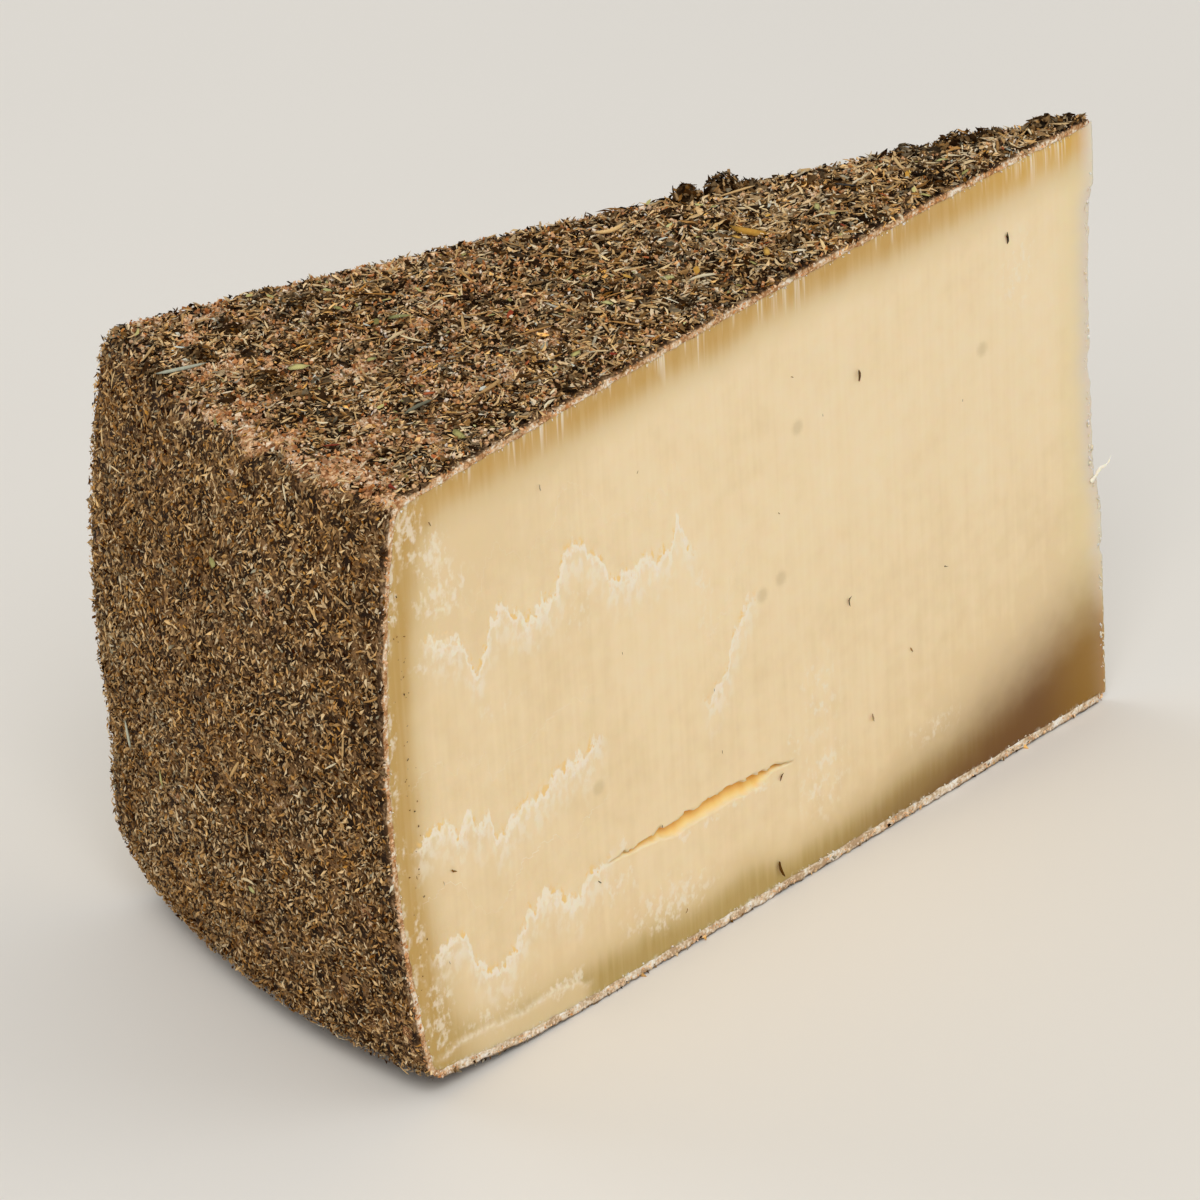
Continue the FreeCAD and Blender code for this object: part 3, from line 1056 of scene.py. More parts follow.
@dataclass
class MarkedFace:
    """Places of one cut face, and what the knife left there.

    Attributes:
        body: the paste.
        marks: what the knife left.
        r: the places' distances from the axis.
        z: their heights.
        band_depth: how deep the darker band reaches under the top and over the underside.
        side_band_depth: how deep it reaches behind the side.
    """

    body: PasteBody
    marks: CutMarks
    r: Array
    z: Array
    band_depth: float = 10.9
    side_band_depth: float = 10.6

    def values(self) -> dict[str, Array]:
        """The relief in millimetres, and the values that the finish reads, by name."""
        r, z, seed = self.r, self.z, self.marks.seed
        depths = self.body.wedge.outline.depths(r, z)
        under_top, behind_side, over_base = depths
        flat = columns(r, z)
        relief = 0.22 * rough(flat / 26.0, seed + 1, 2) + 0.03 * rough(flat / 6.0, seed + 2)
        tear, torn = self.tears(relief)
        split, ember = self.split()
        lip = ease_between(split, 0.0, 0.3)
        relief -= lip * (0.35 + 1.1 * ember)
        ridge, smeared = self.flaps(relief)
        rim_side = np.minimum(behind_side, over_base)
        chalk = np.maximum(self.chalk(), 0.45 * ease_between(rim_side, 2.6, 1.0))
        fringe = 0.7 * self.wave(1.3, 16) + 0.5 * self.wave(5.0, 18)
        reach = 0.8 + 4.6 * ease_between(fringe, -0.3, 0.9)
        drag = np.clip(1.1 - (under_top - self.body.inset) / reach, 0, 1)
        drag *= 0.15 + 0.75 * ease_between(fringe, -0.4, 0.5)
        band, olive = self.band(depths, smeared)
        relief *= ease_between(r, 0.8, 7.0)
        relief *= ease_between(np.minimum(under_top, rim_side), 0.7, 2.0)
        return {
            "relief": relief, "tear": tear, "torn": torn, "split": lip, "ember": ember,
            "chalk": chalk, "spot": self.spots(), "drag": drag, "band": band, "olive": olive,
            "edge": np.exp(-(np.maximum(r - self.body.tip_edge(z), 0) / 2.6) ** 2),
            "ridge": ridge, "stain": np.full(len(r), self.marks.stain),
            "along": r, "height": z,
        }

    def wave(self, size: float, seed: int) -> Array:
        """Random values along the face, of about that size."""
        return lattice(columns(self.r / size), self.marks.seed + seed)

    def along_line(self, line: Sequence[tuple[float, float]]) -> tuple[Array, Array]:
        """A line's height, and 1 along the line falling to 0 past its ends."""
        spots = np.array(sorted(line))
        inside = ease_between(self.r, spots[0, 0] - 2.5, spots[0, 0] + 1.5)
        inside = inside * ease_between(-self.r, -spots[-1, 0] - 2.5, -spots[-1, 0] + 1.0)
        return np.interp(self.r, spots[:, 0], spots[:, 1]), inside

    def above_tear(self, line: Sequence[tuple[float, float]], seed: int) -> tuple[Array, Array]:
        """Height over a torn line, and how firmly the line is there.

        Args:
            line: the line's places.
            seed: picks the line's raggedness.

        Returns:
            The height over the line, and 1 along the line falling to 0 past its ends.
        """
        level, inside = self.along_line(line)
        depth = 0.5 + 1.3 * ease_between(self.wave(7.0, seed + 4), -0.5, 0.6)
        scallops = np.abs(self.wave(2.7, seed)) - 0.4
        scallops += 0.5 * np.abs(self.wave(1.1, seed + 6)) - 0.2
        place = columns(self.r / 0.9, self.z / 3.0)
        teeth = 0.45 * rough(place, self.marks.seed + seed + 3)
        return self.z - level - 1.5 * depth * scallops - teeth, inside

    def tears(self, relief: Array) -> tuple[Array, Array]:
        """Raises the torn lips, and finds each place's nearest tear.

        Args:
            relief: the face's relief, which this changes.

        Returns:
            The height over the nearest tear, and how firmly that tear is there.
        """
        tear, torn = np.full(len(self.r), -9.0), np.zeros(len(self.r))
        for number, line in enumerate(self.marks.tears):
            over, inside = self.above_tear(line, 10 * number)
            below = np.minimum(over, 0)
            upper = inside * ease_between(over, 0.6, -0.5)
            crumbs = rough(columns(self.r / 0.9, self.z / 1.6), self.marks.seed + 5)
            relief += upper * (0.10 * np.exp(below / 3.5) + 0.12 * np.exp(below / 1.6) * crumbs)
            nearer = (np.abs(over) < np.abs(tear)) & (inside > 0.02)
            tear, torn = np.where(nearer, over, tear), np.where(nearer, inside, torn)
        return tear, torn

    def split(self) -> tuple[Array, Array]:
        """The open crack: how far inside it a place is, and how far up towards its upper lip."""
        if not self.marks.split:
            return np.zeros(len(self.r)), np.full(len(self.r), 0.5)
        line = np.array(sorted(self.marks.split))
        level, half = (np.interp(self.r, line[:, 0], line[:, part]) for part in (1, 2))
        half = np.where((self.r < line[0, 0]) | (self.r > line[-1, 0]), 0.0, half)
        teeth = 0.50 * rough(columns(self.r / 1.2), self.marks.seed + 7, 2) * (half > 0.2)
        above = (level + half + teeth) - self.z
        below = self.z - (level - half + 0.5 * teeth)
        inside = np.clip(np.minimum(above / 0.22, below / 0.35), 0, 1) * (half > 0.04)
        return inside, np.clip(below / np.maximum(above + below, 0.05), 0, 1)

    def flaps(self, relief: Array) -> tuple[Array, Array]:
        """Raises the smeared ridges.

        Args:
            relief: the face's relief, which this changes.

        Returns:
            How white the ridges are, and how much of the band under them they hide.
        """
        white, smeared = np.zeros((2, len(self.r)))
        for line in self.marks.flaps:
            level, inside = self.along_line(line)
            away = self.z - level - 0.4 * self.wave(2.0, 15)
            ridge = inside * np.where(away > 0, np.exp(-(away / 0.35) ** 2), np.exp(away / 2.2))
            relief += 0.25 * ridge
            white = np.maximum(white, 0.85 * (inside * np.exp(-((away + 0.1) / 0.45) ** 2)))
            smeared = np.maximum(smeared, inside * ease_between(away, 0.3, -0.5))
        return white, smeared

    def chalk(self) -> Array:
        """How chalky each place is, from the whitish patches."""
        chalk = np.zeros(len(self.r))
        for r, z, half_r, half_z, strength in self.marks.chalky:
            away = ((self.r - r) / half_r) ** 2 + ((self.z - z) / half_z) ** 2
            chalk = np.maximum(chalk, strength * np.exp(-0.7 * away))
        return chalk

    def spots(self) -> Array:
        """How strongly each place lies in one of the dull round spots."""
        spot = np.zeros(len(self.r))
        for r, z in self.marks.spots:
            away = np.hypot(self.r - r, self.z - z)
            spot = np.maximum(spot, 0.55 * ease_between(away, 1.5, 0.6))
        return spot

    def band(self, depths: tuple[Array, Array, Array], smeared: Array) -> tuple[Array, Array]:
        """The darker band beside the rind.

        Args:
            depths: how deep the places lie under the top, behind the side and over the underside.
            smeared: how much of it a smeared ridge hides.

        Returns:
            How strong the band is, and how olive.
        """
        under_top, behind_side, over_base = depths
        r, z, seed = self.r, self.z, self.marks.seed
        drift = (0.8 * lattice(columns(z / 9.0), seed + 20)
                 + 0.4 * lattice(columns(z / 2.6), seed + 21))
        slope = 0.9 * self.wave(9.0, 22) + 0.3 * self.wave(2.5, 23)
        corners = ease_between(z, 66.0, 82.0) + ease_between(z, 24.0, 8.0)
        top_band = ease_between(under_top + 0.5 * slope, self.band_depth, 1.5)
        side_band = ease_between(behind_side + 0.6 * drift, self.side_band_depth + corners, 2.8)
        tip, rim = np.exp(-r / 30.0), ease_between(r, 124.0, 140.0)
        # Near the tip the underside band reaches higher; that extra reach is painted shade of a
        # neighbouring wedge.
        base_band = ease_between(over_base + slope, self.band_depth + 3.0 * tip + 1.8 * rim, 2.0)
        base_band = base_band * (1 - 0.55 * smeared)
        band = 1 - (1 - top_band) * (1 - side_band) * (1 - base_band)
        olive = (0.3 * side_band + base_band) / np.maximum(top_band + side_band + base_band, 1e-3)
        return band, olive


# === The rind ===

@dataclass
class Crust:
    """What the rind and the herbs on it share: where the herbs are worn away, and where the
    crust is swollen.

    Attributes:
        wedge: the wedge in the frame.
        patch_size: of the bare patches.
        crumb_size: of the crumbs at their borders.
        swell: how far the swelling at the back of the side stands out.
    """

    wedge: Wedge
    patch_size: float = 5.0
    crumb_size: float = 1.3
    swell: float = 2.2

    def bareness(self, walk: Array, angle: Array) -> Array:
        """How bare of herbs the rind is, from 0 to 1.

        Args:
            walk: how far along the wheel's section.
            angle: about the wheel's axis.

        Returns:
            One value for each place.
        """
        outline = self.wedge.outline
        r = outline.at(walk)[0]
        place = columns(walk, angle * r)
        patches = rough(place / self.patch_size, 71)
        crumbs = lattice(place / self.crumb_size, 73)
        past = walk - outline.shoulder_mark
        near_front = ease_between(-angle / self.wedge.half_angle, -0.60, 0.0)
        ragged = 1.5 * lattice(columns(angle * r / 4.0), 75)
        edge_line = 1.25 * np.exp(-((past + 0.9 + ragged) / 1.7) ** 2) * near_front
        on_top = ease_between(-past, 1.0, 4.0)
        outward = ease_between(r, 20.0, 145.0)
        top_patches = on_top * outward * ease_between(patches + 0.6 * crumbs, -0.05, 0.45) * 0.85
        side_patches = (1 - on_top) * 0.55 * ease_between(patches + 0.3 * crumbs, 0.50, 0.75)
        return np.clip(edge_line * (0.75 + 0.35 * crumbs) + top_patches + side_patches, 0, 1)

    def swelling(self, walk: Array, angle: Array) -> Array:
        """How far the crust stands out past the wheel's even surface, in millimetres."""
        z = self.wedge.outline.at(walk)[1]
        share = angle / self.wedge.half_angle
        side = ease_between(walk, self.wedge.outline.shoulder_mark, self.wedge.outline.heel_mark)
        return self.swell * side * np.exp(-((share - 1.0) / 0.45) ** 2 - ((z - 15.0) / 9.0) ** 2)


@dataclass
class RindShell:
    """The rind: a thin crumbly shell over the top, the side and the underside.

    Attributes:
        crust: where the herbs are worn away.
        outer: how deep its outer surface lies under the wheel's surface.
        inner: how deep its inner surface lies.
        under_outer: how much deeper the outer surface lies on the underside.
        under_inner: how much deeper the inner surface lies there.
        walk_step: spacing along the section.
        across_count: places across the wedge.
        edge_count: places through the rind where it is cut.
        back_count: places across its inner surface.
        tip_start: how far from the axis it begins.
        bumps: heights of its coarse and its fine bumps.
        ragged: how uneven it is where it is cut.
        stand_out: how far it stands out there past the cut face, and how unevenly.
        clearance: of its lowest places over the floor.
    """

    crust: Crust
    outer: float = -0.1
    inner: float = 0.85
    under_outer: float = 0.3
    under_inner: float = 0.6
    walk_step: float = 0.78
    across_count: int = 86
    edge_count: int = 4
    back_count: int = 9
    tip_start: float = 1.3
    bumps: tuple[float, float] = (0.26, 0.16)
    ragged: float = 0.30
    stand_out: tuple[float, float] = (0.16, 0.20)
    clearance: float = 0.15

    def build(self, material: Material) -> Object:
        """Makes the shell.

        Args:
            material: the rind's finish.

        Returns:
            The piece.
        """
        wedge = self.crust.wedge
        outline = wedge.outline
        walks = np.arange(self.tip_start, outline.length - self.tip_start, self.walk_step)
        over = np.linspace(-1, 1, self.across_count)
        through = np.linspace(0, 1, self.edge_count + 2)[1:-1]
        back = np.linspace(1, -1, self.back_count)
        share = np.concatenate([over, np.ones(len(through)), back, -np.ones(len(through))])
        depth = np.concatenate([0 * over, through, np.ones(len(back)), through[::-1]])
        is_cut = (np.abs(share) > 0.999).astype(float)

        walk, share = (grid.ravel() for grid in np.meshgrid(walks, share, indexing="ij"))
        depth, is_cut = (np.tile(row, len(walks)) for row in (depth, is_cut))
        angle = share * wedge.half_angle
        r = outline.at(walk)[0]
        place = columns(walk, angle * r, depth * 1.3)
        coarse, fine = self.bumps
        bumps = coarse * rough(place / 1.5, 31) + fine * lattice(place / 0.7, 35)
        under = outline.under(walk)
        outer = self.outer + self.under_outer * under
        inner = self.inner + self.under_inner * under
        outer = outer - bumps - self.crust.swelling(walk, angle)
        inset = outer * (1 - depth) + inner * depth
        inset += is_cut * depth * self.ragged * rough(place / 1.1, 39)
        inset_r, inset_z = outline.at(walk, inset)[:2]
        points = wedge.place(inset_r, angle, inset_z)
        push = self.stand_out[0] + self.stand_out[1] * rough(place / 0.8, 41)
        points += (is_cut * np.sign(share) * push)[:, None] * wedge.across(angle)
        points[:, 2] = np.maximum(points[:, 2], self.clearance)

        ring = len(over) + 2 * len(through) + len(back)
        first = np.arange(ring)
        rings = [first + ring * number for number in range(len(walks))]
        faces = np.concatenate([ring_faces(low, high) for low, high in zip(rings, rings[1:])])
        sculpt = Sculpt("rind")
        caps = [rings[0][None, ::-1], rings[-1][None, :]]
        sculpt.add(points, [faces, *caps], bare=self.crust.bareness(walk, angle),
                   cut=is_cut * ease_between(depth, -0.1, 0.3), below=under)
        return sculpt.finish(material, "rind", smooth=True)


# === Herb pieces ===

class Form(Enum):
    """The forms that small pieces take."""

    SLIVER = "a bent spindle, thick in the middle"
    THREAD = "a thinner three-sided spindle"
    GRAIN = "a short spindle"
    LEAF = "a curled flat scrap"
    CRUMB = "a knobbly lump"


@dataclass(frozen=True)
class Shape:
    """A small closed shape, one unit long, wide and thick.

    Attributes:
        points: its places.
        faces: its triangles.
    """

    points: Array
    faces: Array

    @classmethod
    def of(cls, form: Form) -> "Shape":
        """The shape of that form."""
        makers = {Form.SLIVER: cls.spindle, Form.GRAIN: cls.grain, Form.LEAF: cls.scrap,
                  Form.THREAD: cls.thread, Form.CRUMB: cls.lump}
        return makers[form]()

    @classmethod
    def tube(cls, sides: int, rings: Sequence[tuple[float, float]]) -> "Shape":
        """Rings of places between two points.

        Args:
            sides: how many places in a ring.
            rings: each ring's place along the length, and its width.

        Returns:
            The shape.
        """
        turn = np.arange(sides) * 2 * math.pi / sides
        points = [(-0.5, 0, 0)]
        for x, width in rings:
            points += list(columns(x, width / 2 * np.cos(turn), width / 2 * np.sin(turn)))
        points.append((0.5, 0, 0))
        last, end = 1 + sides * (len(rings) - 1), len(points) - 1
        faces = []
        for i in range(sides):
            j = (i + 1) % sides
            faces += [(0, 1 + j, 1 + i), (end, last + i, last + j)]
            for start in range(1, last, sides):
                low, high = start + i, start + j
                faces += [(low, high, high + sides), (low, high + sides, low + sides)]
        return cls(np.array(points), np.array(faces))

    @classmethod
    def spindle(cls) -> "Shape":
        """Three four-sided rings between two points."""
        return cls.tube(4, ((-0.30, 0.75), (0.0, 1.0), (0.28, 0.9)))

    @classmethod
    def thread(cls) -> "Shape":
        """Two three-sided rings between two points."""
        return cls.tube(3, ((-0.22, 0.95), (0.18, 1.1)))

    @classmethod
    def grain(cls) -> "Shape":
        """One four-sided ring between two points."""
        return cls.tube(4, ((0.04, 1.0),))

    @classmethod
    def scrap(cls) -> "Shape":
        """An uneven six-sided scrap with a raised middle."""
        turns = np.radians([0, 52, 118, 180, 236, 305])
        reach = np.array([0.5, 0.46, 0.43, 0.5, 0.40, 0.47])
        rim = np.stack([reach * np.cos(turns), reach * np.sin(turns), 0 * turns], axis=1)
        points = np.concatenate([rim, [[0.05, 0, 0.5], [-0.03, 0, -0.5]]])
        faces = []
        for i in range(6):
            j = (i + 1) % 6
            faces += [(6, i, j), (7, j, i)]
        return cls(points, np.array(faces))

    @classmethod
    def lump(cls) -> "Shape":
        """A twenty-sided ball."""
        golden = (1 + 5 ** 0.5) / 2
        corners = [(0, a, b * golden) for a in (-1, 1) for b in (-1, 1)]
        corners = [tuple(np.roll(corner, turn)) for turn in range(3) for corner in corners]
        points = np.array(corners) / math.sqrt(1 + golden ** 2) / 2
        faces = []
        edge = np.linalg.norm(points[:, None] - points[None, :], axis=2)
        near = (edge > 0) & (edge < 0.6)
        for a, b, c in product(range(12), repeat=3):
            if a < b and a < c and b != c and near[a, b] and near[b, c] and near[c, a]:
                if np.dot(np.cross(points[b] - points[a], points[c] - points[a]), points[a]) > 0:
                    faces.append((a, b, c))
        return cls(points, np.array(faces))


@dataclass
class Spots:
    """Places on a surface, with the directions there.

    Attributes:
        points: the places.
        out: outward directions.
        along: directions along the wheel's section.
        across: directions about the wheel's axis.
    """

    points: Array
    out: Array
    along: Array
    across: Array


@dataclass(frozen=True)
class Litter:
    """Small pieces of one form and finish, scattered.

    Attributes:
        form: their form.
        length: least and greatest length, in millimetres.
        width: least and greatest width, as a share of the length.
        thick: least and greatest thickness, as a share of the width.
        tilt: how far they tip out of the surface, in degrees.
        bend: how far they bend, as a share of their length.
        crumple: how uneven each is, as a share of its size.
        lie: the direction that they favour, in degrees from along the section.
        spread: how far they turn from it, in degrees.
        small_bias: the higher over 1, the commoner small ones are.
        warmth: how much their warmth differs from piece to piece and from patch to patch.
    """

    form: Form
    length: tuple[float, float]
    width: tuple[float, float]
    thick: tuple[float, float] = (0.3, 0.6)
    tilt: float = 12.0
    bend: float = 0.12
    crumple: float = 0.10
    lie: float = 0.0
    spread: float = 180.0
    small_bias: float = 1.6
    warmth: tuple[float, float] = (0.24, 0.22)

    def scatter(self, sculpt: Sculpt, spots: Spots, random: np.random.Generator,
                tones: Array, growth: Array | float = 1.0) -> None:
        """Adds a piece at each spot.

        Args:
            sculpt: the mesh to add to.
            spots: where.
            random: draws their sizes and turns.
            tones: each piece's tone.
            growth: how much larger or smaller each is.
        """
        count = len(spots.points)
        if not count:
            return
        shape = Shape.of(self.form)
        length = random.uniform(0, 1, count) ** self.small_bias
        length = (self.length[0] + length * (self.length[1] - self.length[0])) * growth
        width = length * random.uniform(*self.width, count)
        thick = width * random.uniform(*self.thick, count)
        local = np.broadcast_to(shape.points, (count, *shape.points.shape)).copy()
        local += random.normal(0, self.crumple / 2, local.shape) * (1, 1, 0.6)
        bend_up, bend_side = random.normal(0, self.bend, (2, count))
        bow = local[:, :, 0] ** 2 - 0.1
        local *= np.stack([length, width, thick], axis=1)[:, None, :]
        local[:, :, 2] += bend_up[:, None] * bow * length[:, None] * 2
        local[:, :, 1] += bend_side[:, None] * bow * length[:, None] * 2

        yaw = np.radians(self.lie + random.uniform(-1, 1, count) * self.spread)[:, None]
        pitch, roll = np.radians(random.normal(0, self.tilt, (2, count)))[:, :, None]
        x_axis = np.cos(yaw) * spots.along + np.sin(yaw) * spots.across
        y_axis = np.cross(spots.out, x_axis)
        z_axis = spots.out
        x_axis, z_axis = (np.cos(pitch) * x_axis + np.sin(pitch) * z_axis,
                          np.cos(pitch) * z_axis - np.sin(pitch) * x_axis)
        y_axis, z_axis = (np.cos(roll) * y_axis + np.sin(roll) * z_axis,
                          np.cos(roll) * z_axis - np.sin(roll) * y_axis)
        axes = np.stack([x_axis, y_axis, z_axis], axis=1)
        points = np.einsum("nij,njk->nik", local, axes) + spots.points[:, None, :]
        shift = np.arange(count)[:, None, None] * len(shape.points)
        faces = (shape.faces[None] + shift).reshape(-1, 3)
        points = points.reshape(-1, 3)
        points[:, 2] = np.maximum(points[:, 2], 0.02)
        single, patchy = self.warmth
        clouds = rough(spots.points / 5.0, Seed.WARMTH_CLOUDS.value, 2)
        warmth = np.clip(random.normal(0, single, count) + patchy * clouds, -0.6, 0.6)
        sculpt.add(points, [faces], tone=np.repeat(tones, len(shape.points)),
                   warmth=np.repeat(warmth, len(shape.points)))


class Area(Enum):
    """The stretches of the wheel's surface."""

    TOP = "from the tip to the shoulder"
    SIDE = "from the shoulder to the heel"
    BASE = "from the heel back to the tip"


@dataclass(frozen=True)
class Sprinkle:
    """One layer of one kind of litter on one area of the crust.

    Attributes:
        piece: the name of the piece that it makes.
        finish: the name of its finish.
        area: where it lies.
        litter: its form and sizes.
        count: how many are drawn.
        lift: least and greatest height of their middles over the wheel's surface.
        tone: middle and spread of their tones.
        bare_love: above 0 how strongly they gather on bare rind, below 0 how strongly they
            keep off it.
        tip_growth: how much larger they are at the tip than at the rim.
    """

    piece: str
    finish: str
    area: Area
    litter: Litter
    count: int
    lift: tuple[float, float]
    tone: tuple[float, float] = (0.5, 0.28)
    bare_love: float = -0.9
    tip_growth: float = 0.0


FLAT_SCRAPS = Litter(Form.LEAF, (0.6, 1.9), (0.32, 0.62), (0.16, 0.4), tilt=18, bend=0.16,
                     crumple=0.18)
FINE_THREADS = Litter(Form.THREAD, (0.7, 2.4), (0.10, 0.18), (0.6, 1.0), tilt=14, bend=0.16,
                      crumple=0.12)
TOP_GRAINS = Litter(Form.GRAIN, (0.4, 1.1), (0.32, 0.7), (0.5, 0.9), tilt=30, crumple=0.2)
SIDE_GRAINS = Litter(Form.GRAIN, (0.42, 1.15), (0.26, 0.55), (0.6, 1.0), tilt=30, bend=0.10,
                     crumple=0.14, spread=85)
SIDE_SLIVERS = Litter(Form.GRAIN, (0.45, 1.5), (0.18, 0.40), (0.6, 1.0), tilt=24, bend=0.12,
                      crumple=0.12, spread=75)
RIND_CRUMBS = Litter(Form.GRAIN, (0.40, 0.95), (0.6, 1.0), (0.6, 0.9), tilt=60, crumple=0.24)
MATTED_LEAVES = Litter(Form.LEAF, (1.3, 2.6), (0.40, 0.70), (0.2, 0.4), tilt=9, bend=0.20,
                       crumple=0.26)
PRESSED_SCRAPS = Litter(Form.LEAF, (1.0, 2.6), (0.35, 0.7), (0.15, 0.3), tilt=3, bend=0.05,
                        crumple=0.14)
LONG_STALKS = Litter(Form.SLIVER, (3.0, 6.5), (0.05, 0.08), (0.7, 1.0), tilt=5, bend=0.06,
                     crumple=0.03)
SHORT_STALKS = Litter(Form.SLIVER, (1.8, 4.0), (0.07, 0.11), (0.7, 1.0), tilt=6, bend=0.05,
                      crumple=0.03)

HERB_FINISHES = {
    finish.name: finish for finish in (
        HerbFinish("dark_leaf_finish", (
            (0.00, (26, 14, 4)), (0.22, (60, 41, 22)), (0.42, (108, 84, 54)),
            (0.60, (148, 117, 79)), (0.80, (198, 166, 120)), (1.00, (240, 211, 166))), 1.1),
        HerbFinish("straw_finish", (
            (0.00, (156, 118, 72)), (0.35, (194, 158, 106)), (0.70, (220, 190, 140)),
            (1.00, (240, 220, 178))), 0.45),
        HerbFinish("rind_crumb_finish", (
            (0.00, (160, 106, 66)), (0.40, (212, 158, 110)), (0.75, (232, 190, 146)),
            (1.00, (246, 222, 192))), 0.5),
        HerbFinish("side_dark_finish", (
            (0.00, (40, 18, 0)), (0.28, (82, 54, 25)), (0.60, (134, 101, 63)),
            (1.00, (190, 156, 108))), 1.2),
        HerbFinish("side_tan_finish", (
            (0.00, (132, 99, 62)), (0.45, (182, 144, 96)), (0.80, (212, 176, 126)),
            (1.00, (236, 208, 162))), 0.6),
        HerbFinish("green_leaf_finish", (
            (0.00, (112, 106, 62)), (0.50, (160, 154, 96)), (1.00, (204, 198, 134))), 0.25, 0.12),
        HerbFinish("grey_stalk_finish", (
            (0.00, (58, 58, 60)), (0.50, (128, 127, 106)), (1.00, (198, 200, 178))), 0.2, 0.12),
        HerbFinish("petal_finish", (
            (0.00, (128, 52, 38)), (0.45, (186, 104, 62)), (0.75, (196, 146, 62)),
            (1.00, (222, 182, 98))), 0.2, 0.12),
    )
}

SPRINKLES = (
    Sprinkle("top_leaf_scraps", "dark_leaf_finish", Area.TOP, FLAT_SCRAPS, 5400, (0.05, 0.9),
             (0.34, 0.38), -0.75, tip_growth=0.5),
    Sprinkle("top_threads", "dark_leaf_finish", Area.TOP, FINE_THREADS, 6600, (0.15, 1.0),
             (0.59, 0.43), -0.65, tip_growth=0.25),
    Sprinkle("top_grains", "dark_leaf_finish", Area.TOP, TOP_GRAINS, 13900, (0.05, 0.9),
             (0.43, 0.46), -0.40),
    Sprinkle("top_straws", "straw_finish", Area.TOP, FINE_THREADS, 3000, (0.3, 1.0),
             (0.48, 0.30), -0.4, tip_growth=0.6),
    Sprinkle("top_tan_grains", "side_tan_finish", Area.TOP, TOP_GRAINS, 4200, (0.2, 0.95),
             (0.5, 0.36), -0.3),
    Sprinkle("top_rind_crumbs", "rind_crumb_finish", Area.TOP, RIND_CRUMBS, 13000, (0.05, 0.85),
             (0.46, 0.42), 0.66),
    Sprinkle("side_dark_grains", "side_dark_finish", Area.SIDE, SIDE_GRAINS, 19600,
             (0.0, 0.80), (0.58, 0.45)),
    Sprinkle("side_tan_grains", "side_tan_finish", Area.SIDE, SIDE_SLIVERS, 13700, (0.15, 0.85),
             (0.54, 0.42), -0.3),
    Sprinkle("base_scraps", "side_dark_finish", Area.BASE, PRESSED_SCRAPS, 1900, (-0.5, -0.22),
             (0.6, 0.3)),
    Sprinkle("top_matted_leaves", "dark_leaf_finish", Area.TOP, MATTED_LEAVES, 700, (0.45, 0.85),
             (0.20, 0.26), -0.95, tip_growth=0.2),
)


@dataclass(frozen=True)
class Accent:
    """A herb piece that stands out.

    Attributes:
        piece: the name of the piece that it belongs to.
        area: where it lies.
        at: on the top, its distance from the axis; on the side, its height.
        angle: about the wheel's axis, in degrees.
        length: in millimetres.
        turn: its direction, in degrees from along the section.
        tone: its tone in its finish.
    """

    piece: str
    area: Area
    at: float
    angle: float
    length: float
    turn: float
    tone: float


# For each run of accents: their piece and area, then the rest of each one's numbers in turn.
ACCENT_RUNS = (
    ("green_bits", Area.TOP, (
        (111.7, 4.4, 3.6, 50, 0.35), (129.5, 2.2, 3.6, 151, 0.95), (127.4, -12.4, 2.8, 95, 0.60),
        (110.4, 7.4, 1.6, 175, 0.90), (102.0, -10.4, 1.8, 165, 0.80),
        (121.0, -0.1, 1.5, 26, 0.70), (116.9, 8.2, 2.1, 24, 0.45), (77.9, -5.3, 2.4, 63, 0.80),
        (88.7, -5.2, 2.4, 74, 0.90), (49.4, -2.3, 1.6, 109, 0.80), (26.6, -1.1, 1.8, 28, 0.90),
    )),
    ("green_bits", Area.SIDE, (
        (30.7, 5.7, 2.6, -5, 0.80), (70.4, -1.5, 1.8, -54, 0.60), (23.0, -2.9, 1.5, -65, 0.85),
    )),
    ("petal_bits", Area.TOP, (
        (121.8, -6.8, 2.0, 45, 0.35), (142.6, -13.5, 2.6, -52, 0.05),
        (139.5, -7.5, 2.4, 40, 0.00), (107.7, -8.6, 1.2, 165, 0.35), (60.7, -2.3, 6.0, 56, 0.75),
        (63.4, -2.9, 2.6, 75, 0.90), (63.5, -8.5, 2.6, -53, 0.85), (61.6, -6.7, 1.7, 74, 0.30),
        (51.2, -10.9, 1.5, 87, 0.10), (40.4, -6.7, 1.6, 75, 0.45),
    )),
    ("petal_bits", Area.SIDE, (
        (71.6, -12.5, 1.3, -73, 0.70),
    )),
    ("grey_stalks", Area.TOP, (
        (141.9, 6.5, 7.5, 11, 0.80),
    )),
    ("grey_stalks", Area.SIDE, (
        (32.7, 9.9, 4.9, -5, 0.95),
    )),
    ("grey_stalks", Area.TOP, (
        (125.2, -7.7, 5.6, 0, 0.35), (42.0, 2.1, 3.6, 52, 0.00),
    )),
    ("stalks", Area.TOP, (
        (143.5, 9.5, 5.0, 137, 0.35), (115.5, -9.3, 6.0, 167, 0.25), (114.9, 1.7, 5.0, 161, 0.65),
        (99.3, -11.7, 2.4, 49, 0.85), (79.6, 5.8, 3.8, 102, 0.60), (79.3, -1.1, 4.6, 12, 0.50),
        (75.3, 8.9, 5.7, 172, 0.70), (74.7, -7.9, 5.1, 22, 0.80), (50.8, -5.3, 2.9, 31, 0.80),
        (32.0, 4.9, 5.5, 105, 0.60), (11.4, -2.0, 3.0, 118, 1.00),
    )),
    ("stalks", Area.SIDE, (
        (84.8, -7.2, 2.6, -30, 0.90), (85.3, 2.4, 2.4, -52, 0.40), (61.2, 4.0, 2.3, 90, 0.90),
        (41.8, -3.0, 4.2, 34, 0.50), (36.4, 2.1, 3.9, 18, 0.50), (31.4, -8.3, 2.8, -66, 0.70),
        (31.0, -3.4, 3.4, -8, 0.40), (24.2, -2.7, 3.5, 84, 0.85),
    )),
)

